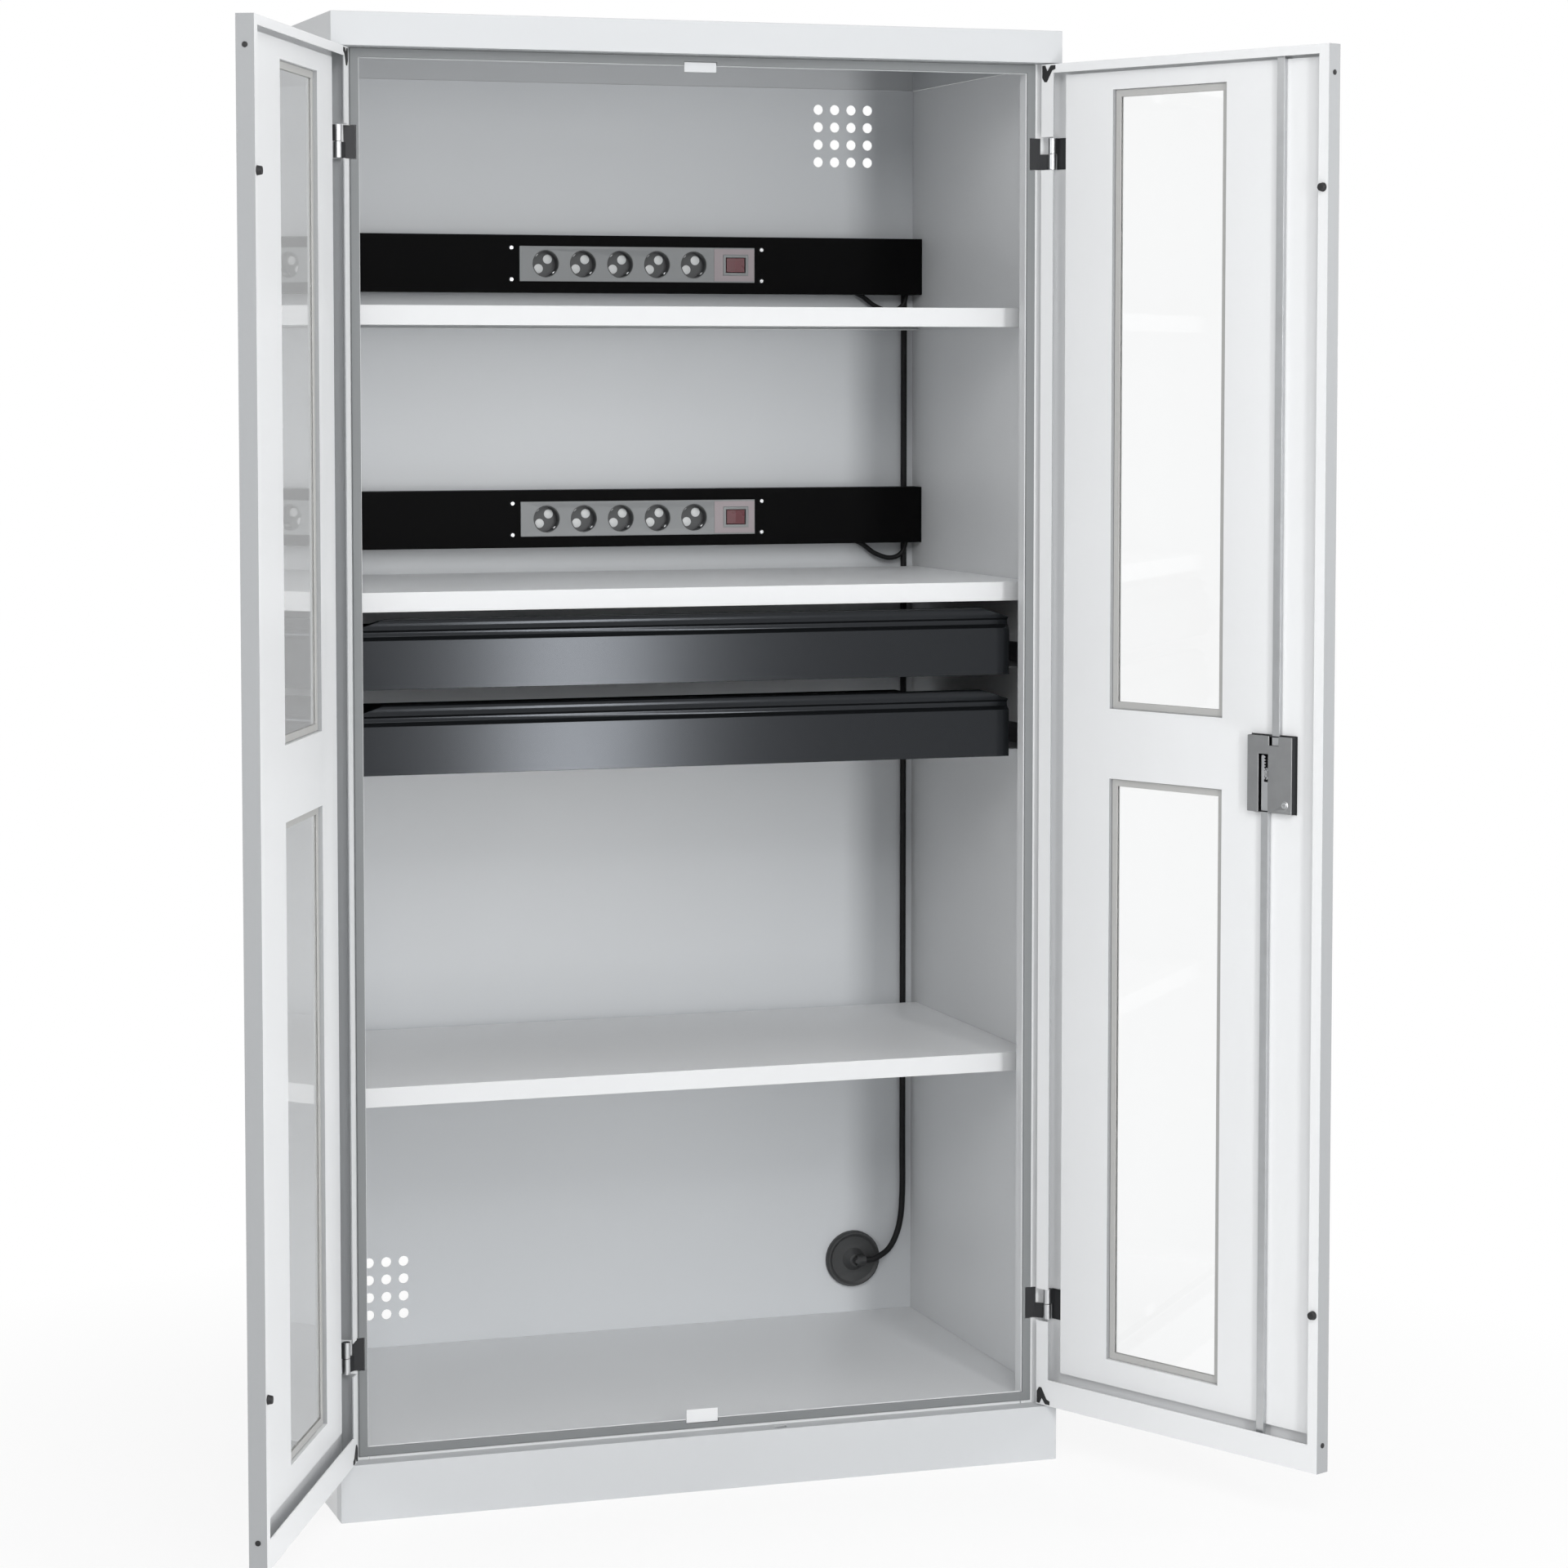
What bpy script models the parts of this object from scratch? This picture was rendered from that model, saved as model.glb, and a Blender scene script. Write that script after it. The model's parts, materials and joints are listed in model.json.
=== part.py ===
"""Steel battery charging cabinet with two window doors, shelves, socket strips and drawers.

Units are metres, +Z is up and +X is to the right of someone who faces the open cabinet.
The origin is the middle of the plinth's bottom front flange, on the floor.
The doors are modelled shut, on an empty on each hinge axis, and the empties hold them open.
"""
import math

import bmesh
import bpy
from mathutils import Matrix, Vector

# Overall size of the steel body
CABINET_WIDTH = 1.000
CABINET_HEIGHT = 1.950
CABINET_DEPTH = 0.580
BODY_SHEET = 0.002
SEAT_GAP = 0.0003
CUT_OVERRUN = 0.010
WELD = 0.00001

# Front frame of the body
HEADER_HEIGHT = 0.043
PLINTH_HEIGHT = 0.075
UPRIGHT_WIDTH = 0.042
UPRIGHT_RETURN = 0.022
BACK_FLANGE = 0.018
TOP_LIP = 0.014
FLOOR_TOP_Z = 0.085
FLOOR_LIP = 0.007
FLOOR_SKIRT = 0.030
CORNER_CLEARANCE = 0.001

# Rubber seal round the opening, and the two centre stops
SEAL_WIDTH = 0.012
SEAL_THICKNESS = 0.003
SEAL_INSET = 0.001
SEAL_ROUND_SHARE = 1 / 3
STOP_WIDTH = 0.044
STOP_HEIGHT = 0.013
STOP_OVERLAP = 0.005
STOP_SHIFT = -0.002
STOP_PROUD = 0.002
NOTCH_CLEARANCE = 0.0006

# Doors
DOOR_THICKNESS = 0.022
DOOR_STANDOFF = 0.0045
DOOR_SHEET = 0.0015
DOOR_END_GAP = 0.0015
DOOR_SIDE_GAP = 0.001
DOOR_MEETING_GAP = 0.003
DOOR_OPEN_ANGLE = math.radians(114.7)
AXIS_FROM_SIDE = 0.010
AXIS_FROM_FRONT = 0.010
FREE_LIP = 0.016
TOP_DOOR_LIP = 0.012
BOTTOM_DOOR_LIP = 0.036
HINGE_LIP = 0.022

# Raised inner panel of each door
INNER_PANEL_DEPTH = 0.009
INNER_PANEL_SHEET = 0.001
INNER_PANEL_FROM_SIDE = 0.034
INNER_PANEL_FREE_GAP = 0.007
INNER_PANEL_TOP_GAP = 0.003
INNER_PANEL_BOTTOM_GAP = 0.010
REVEAL_CLEARANCE = 0.001
LOCK_CUTOUT_CLEARANCE = 0.0015

# Door windows, between the rails of the door
WINDOW_FROM_SIDE = 0.120
WINDOW_FROM_LOCK = 0.088
TOP_RAIL = 0.0395
MIDDLE_RAIL = 0.096
BOTTOM_RAIL = 0.0815
LOWER_WINDOW_HEIGHT = 0.789
GASKET_WIDTH = 0.009
GASKET_LAP = 0.0035
GASKET_WEB = 0.0015
GASKET_SKIN = 0.0015
PANE_THICKNESS = 0.003

# Hinges
HINGE_HEIGHT = 0.042
UPPER_HINGE_INSET = 0.1195
LOWER_HINGE_INSET = 0.1385
LEAF_SHEET = 0.002
KNUCKLE_RADIUS = 0.005
PIN_RADIUS = 0.0025
PIN_CLEARANCE = 0.0004
KNUCKLE_GAP = 0.0004
FRAME_LEAF_LENGTH = 0.015
FRAME_LEAF_REACH = 0.0265
DOOR_LEAF_LENGTH = 0.021
HINGE_NOTCH_CLEARANCE = 0.0012

# Lock with a pinion and two toothed rods
LOCK_FROM_FREE_EDGE = 0.093
LOCK_BELOW_RAIL_MIDDLE = 0.020
CASE_WIDTH = 0.074
CASE_HEIGHT = 0.099
CASE_SHIFT = 0.002
CASE_SHEET = 0.0015
CASE_DEPTH = 0.0155
COVER_SHEET = 0.0015
COVER_SLOT_CLEARANCE = 0.002
GEAR_MODULE = 0.00125
PINION_TEETH = 14
PINION_THICKNESS = 0.006
RACK_TEETH = 8
RACK_TEETH_PAST_CENTRE = 2
RACK_END_SHARE = 0.1
RACK_SHOULDER_SHARE = 0.7
TOOTH_HALF_THICKNESS_SHARE = 0.205
ADDENDUM_SHARE = 0.8
DEDENDUM_SHARE = 1.1
FLANK_ANGLE = math.radians(20)
ROD_WIDTH = 0.012
ROD_THICKNESS = 0.005
ROD_DEPTH = 0.0125
ROD_SLOT_CLEARANCE = 0.0004
ROD_END_GAP = 0.001
STRIKE_CLEARANCE = 0.002
SPINDLE_SIDE = 0.008
SPINDLE_HOLE_RADIUS = 0.007
LOCK_SCREW_RADIUS = 0.005
LOCK_SCREW_HEIGHT = 0.0015
LOCK_SCREW_INSET = 0.011

# Outer swivel handle
HANDLE_BOSS_RADIUS = 0.017
HANDLE_BOSS_TIP_SHARE = 0.8
HANDLE_LENGTH = 0.115
HANDLE_WIDTH = 0.022
HANDLE_TIP_WIDTH = 0.017
HANDLE_THICKNESS = 0.009
HANDLE_STANDOFF = 0.016

# Rubber buffers on the free edges of the doors
BUFFER_RADIUS = 0.006
BUFFER_HEIGHT = 0.006
BUFFER_TIP_SHARE = 0.8
BUFFER_SIDES = 16
UPPER_BUFFER_INSET = 0.180
LOWER_BUFFER_INSET = 0.2065

# Back wall with its vents
BACK_SHEET = 0.002
BACK_PANEL_BOTTOM_Z = 0.020
VENT_HOLE = 0.015
VENT_PITCH = 0.0255
VENT_COUNT = 4
UPPER_VENT_FROM_SIDE = 0.110
UPPER_VENT_BELOW_HEADER = 0.0685
LOWER_VENT_FROM_SIDE = 0.1765
LOWER_VENT_ABOVE_FLOOR = 0.086
VENT_SIDES = 12

# Shelves
SHELF_SHEET = 0.0015
SHELF_SETBACK = 0.091
SHELF_BACK_GAP = 0.0225
SHELF_HEIGHT = 0.026
SHELF_RETURN = 0.015
UPPER_SHELF_SHARE = 0.8262
MIDDLE_SHELF_SHARE = 0.6180
LOWER_SHELF_SHARE = 0.2554

# Power rails and socket strips
RAIL_HEIGHT = 0.082
RAIL_DEPTH = 0.040
UPPER_RAIL_RISE = 0.026
LOWER_RAIL_RISE = 0.036
RAIL_SHEET = 0.002
STRIP_LEFT_X = -0.115
STRIP_LENGTH = 0.352
STRIP_HEIGHT = 0.050
STRIP_FACE = 0.003
STRIP_BODY_DEPTH = 0.032
STRIP_LAP = 0.003
SOCKET_COUNT = 5
SOCKET_PITCH = 0.0553
FIRST_SOCKET_X = -0.0765
SOCKET_RADIUS = 0.0195
SOCKET_DEPTH = 0.0175
CONTACT_RADIUS = 0.0028
CONTACT_SPACING = 0.019
CONTACT_DEPTH = 0.010
CONTACT_TILT = math.radians(45)
SWITCH_X = 0.208
SWITCH_WIDTH = 0.030
SWITCH_HEIGHT = 0.022
SWITCH_POCKET_DEPTH = 0.014
SWITCH_FRAME = 0.004
SWITCH_FRAME_RISE = 0.0015
SWITCH_CLEARANCE = 0.0007
ROCKER_TILT = math.radians(7)
ROCKER_DEPTH = 0.010
ROCKER_PROUD = 0.0035

# Cables and the mains inlet
TRUNK_DIAMETER = 0.009
LEAD_DIAMETER = 0.007
TRUNK_FROM_SIDE = 0.016
TRUNK_WALL_GAP = 0.0012
CABLE_HOLE_CLEARANCE = 0.0015
LEAD_SLOT_LENGTH = 0.052
LEAD_EXIT_FROM_TRUNK = 0.073
LEAD_DIP = 0.0235
LEAD_TURN_FROM_TRUNK = 0.025
INLET_FROM_TRUNK = 0.078
INLET_Z = 0.166
INLET_RADIUS = 0.042
INLET_RIM = 0.008
INLET_RIM_HEIGHT = 0.010
INLET_FACE_HEIGHT = 0.007
INLET_DOME_RADIUS = 0.017
INLET_DOME_HEIGHT = 0.016
INLET_SPIGOT_RADIUS = 0.026
SPIGOT_CLEARANCE = 0.0006
GLAND_RADIUS = 0.008
GLAND_REACH = 0.014
GLAND_STANDOFF = 0.0185
TRUNK_BEND_Z = 0.262
GLAND_HUB_TIP_SHARE = 0.42
LEAD_ROUTE_STEP = 0.016
LEAD_RUN_SHARES = (0.30, 0.75)
LEAD_FIRST_DROP_SHARE = 0.05
LEAD_BOW_SHARE = 0.68
LEAD_RISE_SHARE = 0.72
LEAD_END_SHARE = 1 / 3
TRUNK_DROP_SHARES = (4, 1, 0)
TRUNK_SWEEP_SHARES = ((0.10, 0.30, 0.50), (0.36, 0.75, 0.17))
TRUNK_END_LIFT_SHARE = 0.02

# Drawers and their runners
DRAWER_COUNT = 2
DRAWER_SETBACK = 0.075
FIRST_DRAWER_DROP = 0.1265
DRAWER_PITCH = 0.1125
DRAWER_SIDE_CLEARANCE = 0.002
DRAWER_FACE = 0.064
DRAWER_GROOVE_RISE = 0.010
DRAWER_GROOVE_DEPTH = 0.007
DRAWER_ROLL_RADIUS = 0.009
ROLL_START_ANGLE = math.radians(245)
ROLL_END_ANGLE = math.radians(20)
DRAWER_BOTTOM_RETURN = 0.014
DRAWER_FRONT_SHEET = 0.0015
DRAWER_END_SLOPE = 0.040
DRAWER_END_DROP = 0.013
TRAY_FROM_RUNNER = 0.0143
TRAY_BACK_GAP = 0.0789
TRAY_HEIGHT = 0.058
TRAY_SHEET = 0.0015
TRAY_BOTTOM_GAP = 0.0025
RUNNER_HEIGHT = 0.045
RUNNER_SHEET = 0.0015
RUNNER_GAP = 0.0008
RUNNER_BACK_INSET = 0.020
RUNNER_SIDE_CLEARANCE = 0.0012
RUNNER_WALL_FLANGE = 0.030
RUNNER_MIDDLE_DEPTH = 0.0078
RUNNER_FLANGE_DEPTH = 0.0093

ROUND_SIDES = 24
TURN_STEPS = 32
ARC_STEPS = 8
SMOOTH_ANGLE = math.radians(35)

# Places that follow from the sizes
HALF_WIDTH = CABINET_WIDTH / 2
FRONT_ZONE = DOOR_THICKNESS + DOOR_STANDOFF
FRONT_Y = -FRONT_ZONE / 2
FRAME_Y = FRONT_ZONE / 2
BACK_Y = FRONT_Y + CABINET_DEPTH
HEADER_Z = CABINET_HEIGHT - HEADER_HEIGHT
OPENING_HALF = HALF_WIDTH - UPRIGHT_WIDTH
INNER_HALF = HALF_WIDTH - BODY_SHEET
OPENING_TOP_Z = HEADER_Z - TOP_LIP
OPENING_BOTTOM_Z = FLOOR_TOP_Z + FLOOR_LIP
OPENING_HEIGHT = OPENING_TOP_Z - OPENING_BOTTOM_Z
BACK_PANEL_Y = BACK_Y - BODY_SHEET - SEAT_GAP - BACK_SHEET
AXIS_X = HALF_WIDTH - AXIS_FROM_SIDE
AXIS_Y = FRONT_Y + AXIS_FROM_FRONT
DOOR_BOTTOM_Z = PLINTH_HEIGHT + DOOR_END_GAP
DOOR_TOP_Z = HEADER_Z - DOOR_END_GAP
DOOR_FREE = HALF_WIDTH - DOOR_MEETING_GAP
LOWER_WINDOW_BOTTOM_Z = DOOR_BOTTOM_Z + BOTTOM_RAIL
UPPER_WINDOW_BOTTOM_Z = LOWER_WINDOW_BOTTOM_Z + LOWER_WINDOW_HEIGHT + MIDDLE_RAIL
UPPER_WINDOW_HEIGHT = DOOR_TOP_Z - TOP_RAIL - UPPER_WINDOW_BOTTOM_Z
LOCK_Z = UPPER_WINDOW_BOTTOM_Z - MIDDLE_RAIL / 2 - LOCK_BELOW_RAIL_MIDDLE
LOCK_FROM_SIDE = DOOR_FREE - LOCK_FROM_FREE_EDGE
WINDOW_WIDTH = LOCK_FROM_SIDE - WINDOW_FROM_LOCK - WINDOW_FROM_SIDE
PITCH_RADIUS = GEAR_MODULE * PINION_TEETH / 2
TOOTH_PITCH = math.pi * GEAR_MODULE
ADDENDUM = ADDENDUM_SHARE * GEAR_MODULE
DEDENDUM = DEDENDUM_SHARE * GEAR_MODULE
UPPER_ROD_FROM_SIDE = LOCK_FROM_SIDE + PITCH_RADIUS
LOWER_ROD_FROM_SIDE = LOCK_FROM_SIDE - PITCH_RADIUS
RAIL_Y = BACK_PANEL_Y - SEAT_GAP - RAIL_DEPTH
TRUNK_X = INNER_HALF - TRUNK_FROM_SIDE
TRUNK_Y = BACK_PANEL_Y - TRUNK_WALL_GAP - TRUNK_DIAMETER / 2
LEAD_EXIT_X = TRUNK_X - LEAD_EXIT_FROM_TRUNK
LEAD_TURN_X = TRUNK_X - LEAD_TURN_FROM_TRUNK
INLET_X = TRUNK_X - INLET_FROM_TRUNK
LEAD_Y = TRUNK_Y - (TRUNK_DIAMETER + LEAD_DIAMETER) / 2 - SEAT_GAP
SHELF_FRONT_Y = FRONT_Y + SHELF_SETBACK
SHELF_BACK_Y = BACK_PANEL_Y - SHELF_BACK_GAP
UPPER_SHELF_Z = OPENING_BOTTOM_Z + UPPER_SHELF_SHARE * OPENING_HEIGHT
MIDDLE_SHELF_Z = OPENING_BOTTOM_Z + MIDDLE_SHELF_SHARE * OPENING_HEIGHT
LOWER_SHELF_Z = OPENING_BOTTOM_Z + LOWER_SHELF_SHARE * OPENING_HEIGHT
UPPER_RAIL_Z = UPPER_SHELF_Z + UPPER_RAIL_RISE
LOWER_RAIL_Z = MIDDLE_SHELF_Z + LOWER_RAIL_RISE
FIRST_DRAWER_Z = MIDDLE_SHELF_Z - FIRST_DRAWER_DROP
VENT_CENTRES = (
    (INNER_HALF - UPPER_VENT_FROM_SIDE, HEADER_Z - UPPER_VENT_BELOW_HEADER),
    (LOWER_VENT_FROM_SIDE - INNER_HALF, FLOOR_TOP_Z + LOWER_VENT_ABOVE_FLOOR),
)
DRAWER_FRONT_Y = FRONT_Y + DRAWER_SETBACK
TRAY_FRONT_Y = DRAWER_FRONT_Y + DRAWER_FRONT_SHEET + SEAT_GAP
TRAY_LENGTH = BACK_PANEL_Y - TRAY_BACK_GAP - TRAY_FRONT_Y
RUNNER_LENGTH = TRAY_LENGTH - RUNNER_BACK_INSET
RUNNER_OUTER_X = OPENING_HALF - RUNNER_SIDE_CLEARANCE
TRAY_HALF = RUNNER_OUTER_X - TRAY_FROM_RUNNER
DRAWER_FRONT_HALF = OPENING_HALF - DRAWER_SIDE_CLEARANCE
HINGE_HEIGHTS = {
    "upper": DOOR_TOP_Z - UPPER_HINGE_INSET,
    "lower": DOOR_BOTTOM_Z + LOWER_HINGE_INSET,
}
BUFFER_HEIGHTS = {
    "upper": DOOR_TOP_Z - UPPER_BUFFER_INSET,
    "lower": DOOR_BOTTOM_Z + LOWER_BUFFER_INSET,
}
WINDOWS = {
    "upper": (UPPER_WINDOW_BOTTOM_Z, UPPER_WINDOW_HEIGHT),
    "lower": (LOWER_WINDOW_BOTTOM_Z, LOWER_WINDOW_HEIGHT),
}
SIDES = {"left": -1, "right": 1}

# Directions in which a flat outline is pushed into a solid
ALONG_X = Matrix(((0, 0, 1), (1, 0, 0), (0, 1, 0))).to_4x4()
ALONG_Y = Matrix(((1, 0, 0), (0, 0, -1), (0, 1, 0))).to_4x4()
ALONG_Z = Matrix.Identity(4)


def clear_scene():
    """Remove every object that the file starts with."""
    for obj in list(bpy.data.objects):
        bpy.data.objects.remove(obj, do_unlink=True)


def make_collection(name):
    """Add a collection to the scene."""
    collection = bpy.data.collections.new(name)
    bpy.context.scene.collection.children.link(collection)
    return collection


def make_material(name, colour, roughness, metallic=0.0, alpha=1.0):
    """A finish with one colour, roughness and metallic value."""
    material = bpy.data.materials.new(name)
    material.use_nodes = True
    shader = material.node_tree.nodes["Principled BSDF"]
    shader.inputs["Base Color"].default_value = (*colour, 1.0)
    shader.inputs["Roughness"].default_value = roughness
    shader.inputs["Metallic"].default_value = metallic
    shader.inputs["Alpha"].default_value = alpha
    material.diffuse_color = (*colour, alpha)
    return material


def add_object(name, mesh, collection, parent=None):
    """Put a mesh into a collection under a name, and under a parent if it has one."""
    obj = bpy.data.objects.new(name, mesh)
    collection.objects.link(obj)
    obj.parent = parent
    return obj


def mesh_from(tool, name):
    """Turn a finished bmesh into a mesh with its faces pointing out."""
    bmesh.ops.recalc_face_normals(tool, faces=tool.faces)
    mesh = bpy.data.meshes.new(name)
    tool.to_mesh(mesh)
    tool.free()
    return mesh


def block(name, low, high, collection, parent=None):
    """A box between two corners, whichever way round they are given."""
    corners = [sorted(pair) for pair in zip(low, high)]
    centre = Vector([(a + b) / 2 for a, b in corners])
    size = Vector([b - a for a, b in corners])
    tool = bmesh.new()
    bmesh.ops.create_cube(tool, size=1, matrix=Matrix.LocRotScale(centre, None, size))
    return add_object(name, mesh_from(tool, name), collection, parent)


def drum(name, start, axis, length, radius, collection, parent=None, sides=ROUND_SIDES, tip=None):
    """A cylinder, or a cone with a tip radius, from a start point along an axis."""
    tool = bmesh.new()
    turn = axis.to_track_quat("Z", "Y")
    matrix = Matrix.LocRotScale(start + axis * length / 2, turn, None)
    bmesh.ops.create_cone(tool, cap_ends=True, segments=sides, radius1=radius,
                          radius2=radius if tip is None else tip, depth=length, matrix=matrix)
    return add_object(name, mesh_from(tool, name), collection, parent)


def evaluated_mesh(obj):
    """The mesh that an object's curve or modifiers give, welded."""
    graph = bpy.context.evaluated_depsgraph_get()
    mesh = bpy.data.meshes.new_from_object(obj.evaluated_get(graph))
    tool = bmesh.new()
    tool.from_mesh(mesh)
    bmesh.ops.remove_doubles(tool, verts=tool.verts, dist=WELD)
    bpy.data.meshes.remove(mesh)
    return mesh_from(tool, obj.name)


def outline_solid(name, outline, start, end, direction, collection, parent=None):
    """A flat closed outline pushed from a start to an end along a direction."""
    curve = bpy.data.curves.new(name, "CURVE")
    curve.dimensions = "2D"
    curve.fill_mode = "BOTH"
    curve.extrude = abs(end - start) / 2
    spline = curve.splines.new("POLY")
    spline.points.add(len(outline) - 1)
    for point, (across, up) in zip(spline.points, outline):
        point.co = (across, up, 0, 1)
    spline.use_cyclic_u = True
    flat = add_object(name, curve, collection)
    bpy.context.view_layer.update()
    mesh = evaluated_mesh(flat)
    bpy.data.objects.remove(flat, do_unlink=True)
    middle = (start + end) / 2
    shift = direction @ Vector((0, 0, middle if direction != ALONG_Y else -middle))
    mesh.transform(Matrix.Translation(shift) @ direction)
    return add_object(name, mesh, collection, parent)


def folded_outline(path, thickness):
    """Closed outline of a sheet folded along a path, with its thickness on the path's left."""
    points = [Vector(point) for point in path]
    inner = []
    for index, point in enumerate(points):
        before = points[index] - points[index - 1] if index else points[1] - points[0]
        after = points[index + 1] - point if index < len(points) - 1 else before
        left_before = Vector((-before.y, before.x)).normalized()
        left_after = Vector((-after.y, after.x)).normalized()
        mitre = (left_before + left_after) / (1 + left_before.dot(left_after))
        inner.append(point + mitre * thickness)
    return [tuple(point) for point in points + inner[::-1]]


def arc(centre, radius, start, end, steps):
    """Points along an arc, both ends included."""
    points = []
    for step in range(steps + 1):
        angle = start + (end - start) * step / steps
        points.append((centre[0] + radius * math.cos(angle), centre[1] + radius * math.sin(angle)))
    return points


def combine(target, operation, *tools):
    """Cut tools from a target, or join them to it, and hide them as construction pieces."""
    for tool in tools:
        modifier = target.modifiers.new(operation.title() + " " + tool.name, "BOOLEAN")
        modifier.operation = operation
        modifier.solver = "EXACT"
        modifier.object = tool
        tool.hide_render = True
        tool.display_type = "WIRE"
    return target


def bake(obj):
    """Apply an object's modifiers to its mesh, so that other pieces can use it."""
    bpy.context.view_layer.update()
    mesh = evaluated_mesh(obj)
    obj.modifiers.clear()
    obj.data = mesh
    return obj


def shade_round(obj):
    """Shade a round piece smooth, and keep its real edges sharp."""
    obj.data.shade_smooth()
    obj.data.set_sharp_from_angle(angle=SMOOTH_ANGLE)
    return obj


def dress(obj, material):
    """Give a piece its finish."""
    obj.data.materials.clear()
    obj.data.materials.append(material)
    return obj


def empty_at(name, place, collection, parent=None):
    """An empty on a joint's axis, which carries the pieces that move together."""
    empty = bpy.data.objects.new(name, None)
    collection.objects.link(empty)
    empty.location = place
    empty.parent = parent
    return empty


def make_finishes():
    """Every finish of the cabinet."""
    return {
        "body": make_material("light grey paint", (0.76, 0.78, 0.80), 0.42),
        "inner": make_material("grey inner paint", (0.52, 0.55, 0.58), 0.45),
        "seal": make_material("grey seal rubber", (0.22, 0.23, 0.24), 0.75),
        "black": make_material("black paint", (0.008, 0.008, 0.009), 0.5),
        "plastic": make_material("black plastic", (0.015, 0.015, 0.016), 0.55),
        "grey plastic": make_material("grey plastic", (0.32, 0.33, 0.34), 0.5),
        "red": make_material("dark red rocker", (0.12, 0.008, 0.014), 0.3),
        "anthracite": make_material("anthracite metallic paint", (0.05, 0.054, 0.058), 0.32, 0.6),
        "zinc": make_material("zinc plated steel", (0.55, 0.56, 0.58), 0.35, 1.0),
        "dark steel": make_material("dark steel", (0.05, 0.052, 0.056), 0.4, 0.8),
        "pane": make_material("clear pane", (0.90, 0.94, 0.96), 0.05, 0.0, 0.25),
        "cable": make_material("black cable", (0.012, 0.012, 0.013), 0.55),
    }


def make_side_panel(side_name, side, parts, finish):
    """A side wall with its back flange and its folded front upright."""
    return_x = OPENING_HALF + SEAL_WIDTH
    path = [
        (HALF_WIDTH - BACK_FLANGE, BACK_Y),
        (HALF_WIDTH, BACK_Y),
        (HALF_WIDTH, FRAME_Y),
        (OPENING_HALF, FRAME_Y),
        (OPENING_HALF, FRAME_Y + UPRIGHT_RETURN),
        (return_x, FRAME_Y + UPRIGHT_RETURN),
    ]
    outline = folded_outline(path, -BODY_SHEET)
    outline = [(side * x, y) for x, y in outline]
    panel = outline_solid("side_panel_" + side_name, outline, 0, HEADER_Z - SEAT_GAP,
                          ALONG_Z, parts)
    return dress(panel, finish["body"])


def make_back_panel(parts, cutters, finish):
    """The back wall with two square fields of vent holes and the inlet's hole."""
    half = INNER_HALF - SEAT_GAP
    panel = block("back_panel", (-half, BACK_PANEL_Y, BACK_PANEL_BOTTOM_Z),
                  (half, BACK_PANEL_Y + BACK_SHEET, HEADER_Z - SEAT_GAP), parts)
    tool = bmesh.new()
    through = BACK_SHEET + CUT_OVERRUN
    turn = Matrix.Rotation(math.pi / 2, 4, "X")
    for centre_x, centre_z in VENT_CENTRES:
        for column in range(VENT_COUNT):
            for row in range(VENT_COUNT):
                x = centre_x + (column - (VENT_COUNT - 1) / 2) * VENT_PITCH
                z = centre_z + (row - (VENT_COUNT - 1) / 2) * VENT_PITCH
                place = Matrix.Translation((x, BACK_PANEL_Y + BACK_SHEET / 2, z)) @ turn
                bmesh.ops.create_cone(tool, cap_ends=True, segments=VENT_SIDES,
                                      radius1=VENT_HOLE / 2, radius2=VENT_HOLE / 2,
                                      depth=through, matrix=place)
    vents = add_object("vent cutters", mesh_from(tool, "vent cutters"), cutters)
    hole = drum("inlet hole cutter", Vector((INLET_X, BACK_PANEL_Y - CUT_OVERRUN, INLET_Z)),
                Vector((0, 1, 0)), BACK_SHEET + 2 * CUT_OVERRUN,
                INLET_SPIGOT_RADIUS + SPIGOT_CLEARANCE, cutters)
    combine(panel, "DIFFERENCE", vents, hole)
    return dress(panel, finish["inner"])


def rod_hole(name, from_side, z_low, z_high, cutters):
    """Cutter for a hole that a shut door's rod shoots into."""
    x = HALF_WIDTH - from_side
    y = FRONT_Y + ROD_DEPTH
    half_width = ROD_WIDTH / 2 + STRIKE_CLEARANCE
    half_depth = ROD_THICKNESS / 2 + STRIKE_CLEARANCE
    return block(name, (x - half_width, y - half_depth, z_low),
                 (x + half_width, y + half_depth, z_high), cutters)


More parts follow.
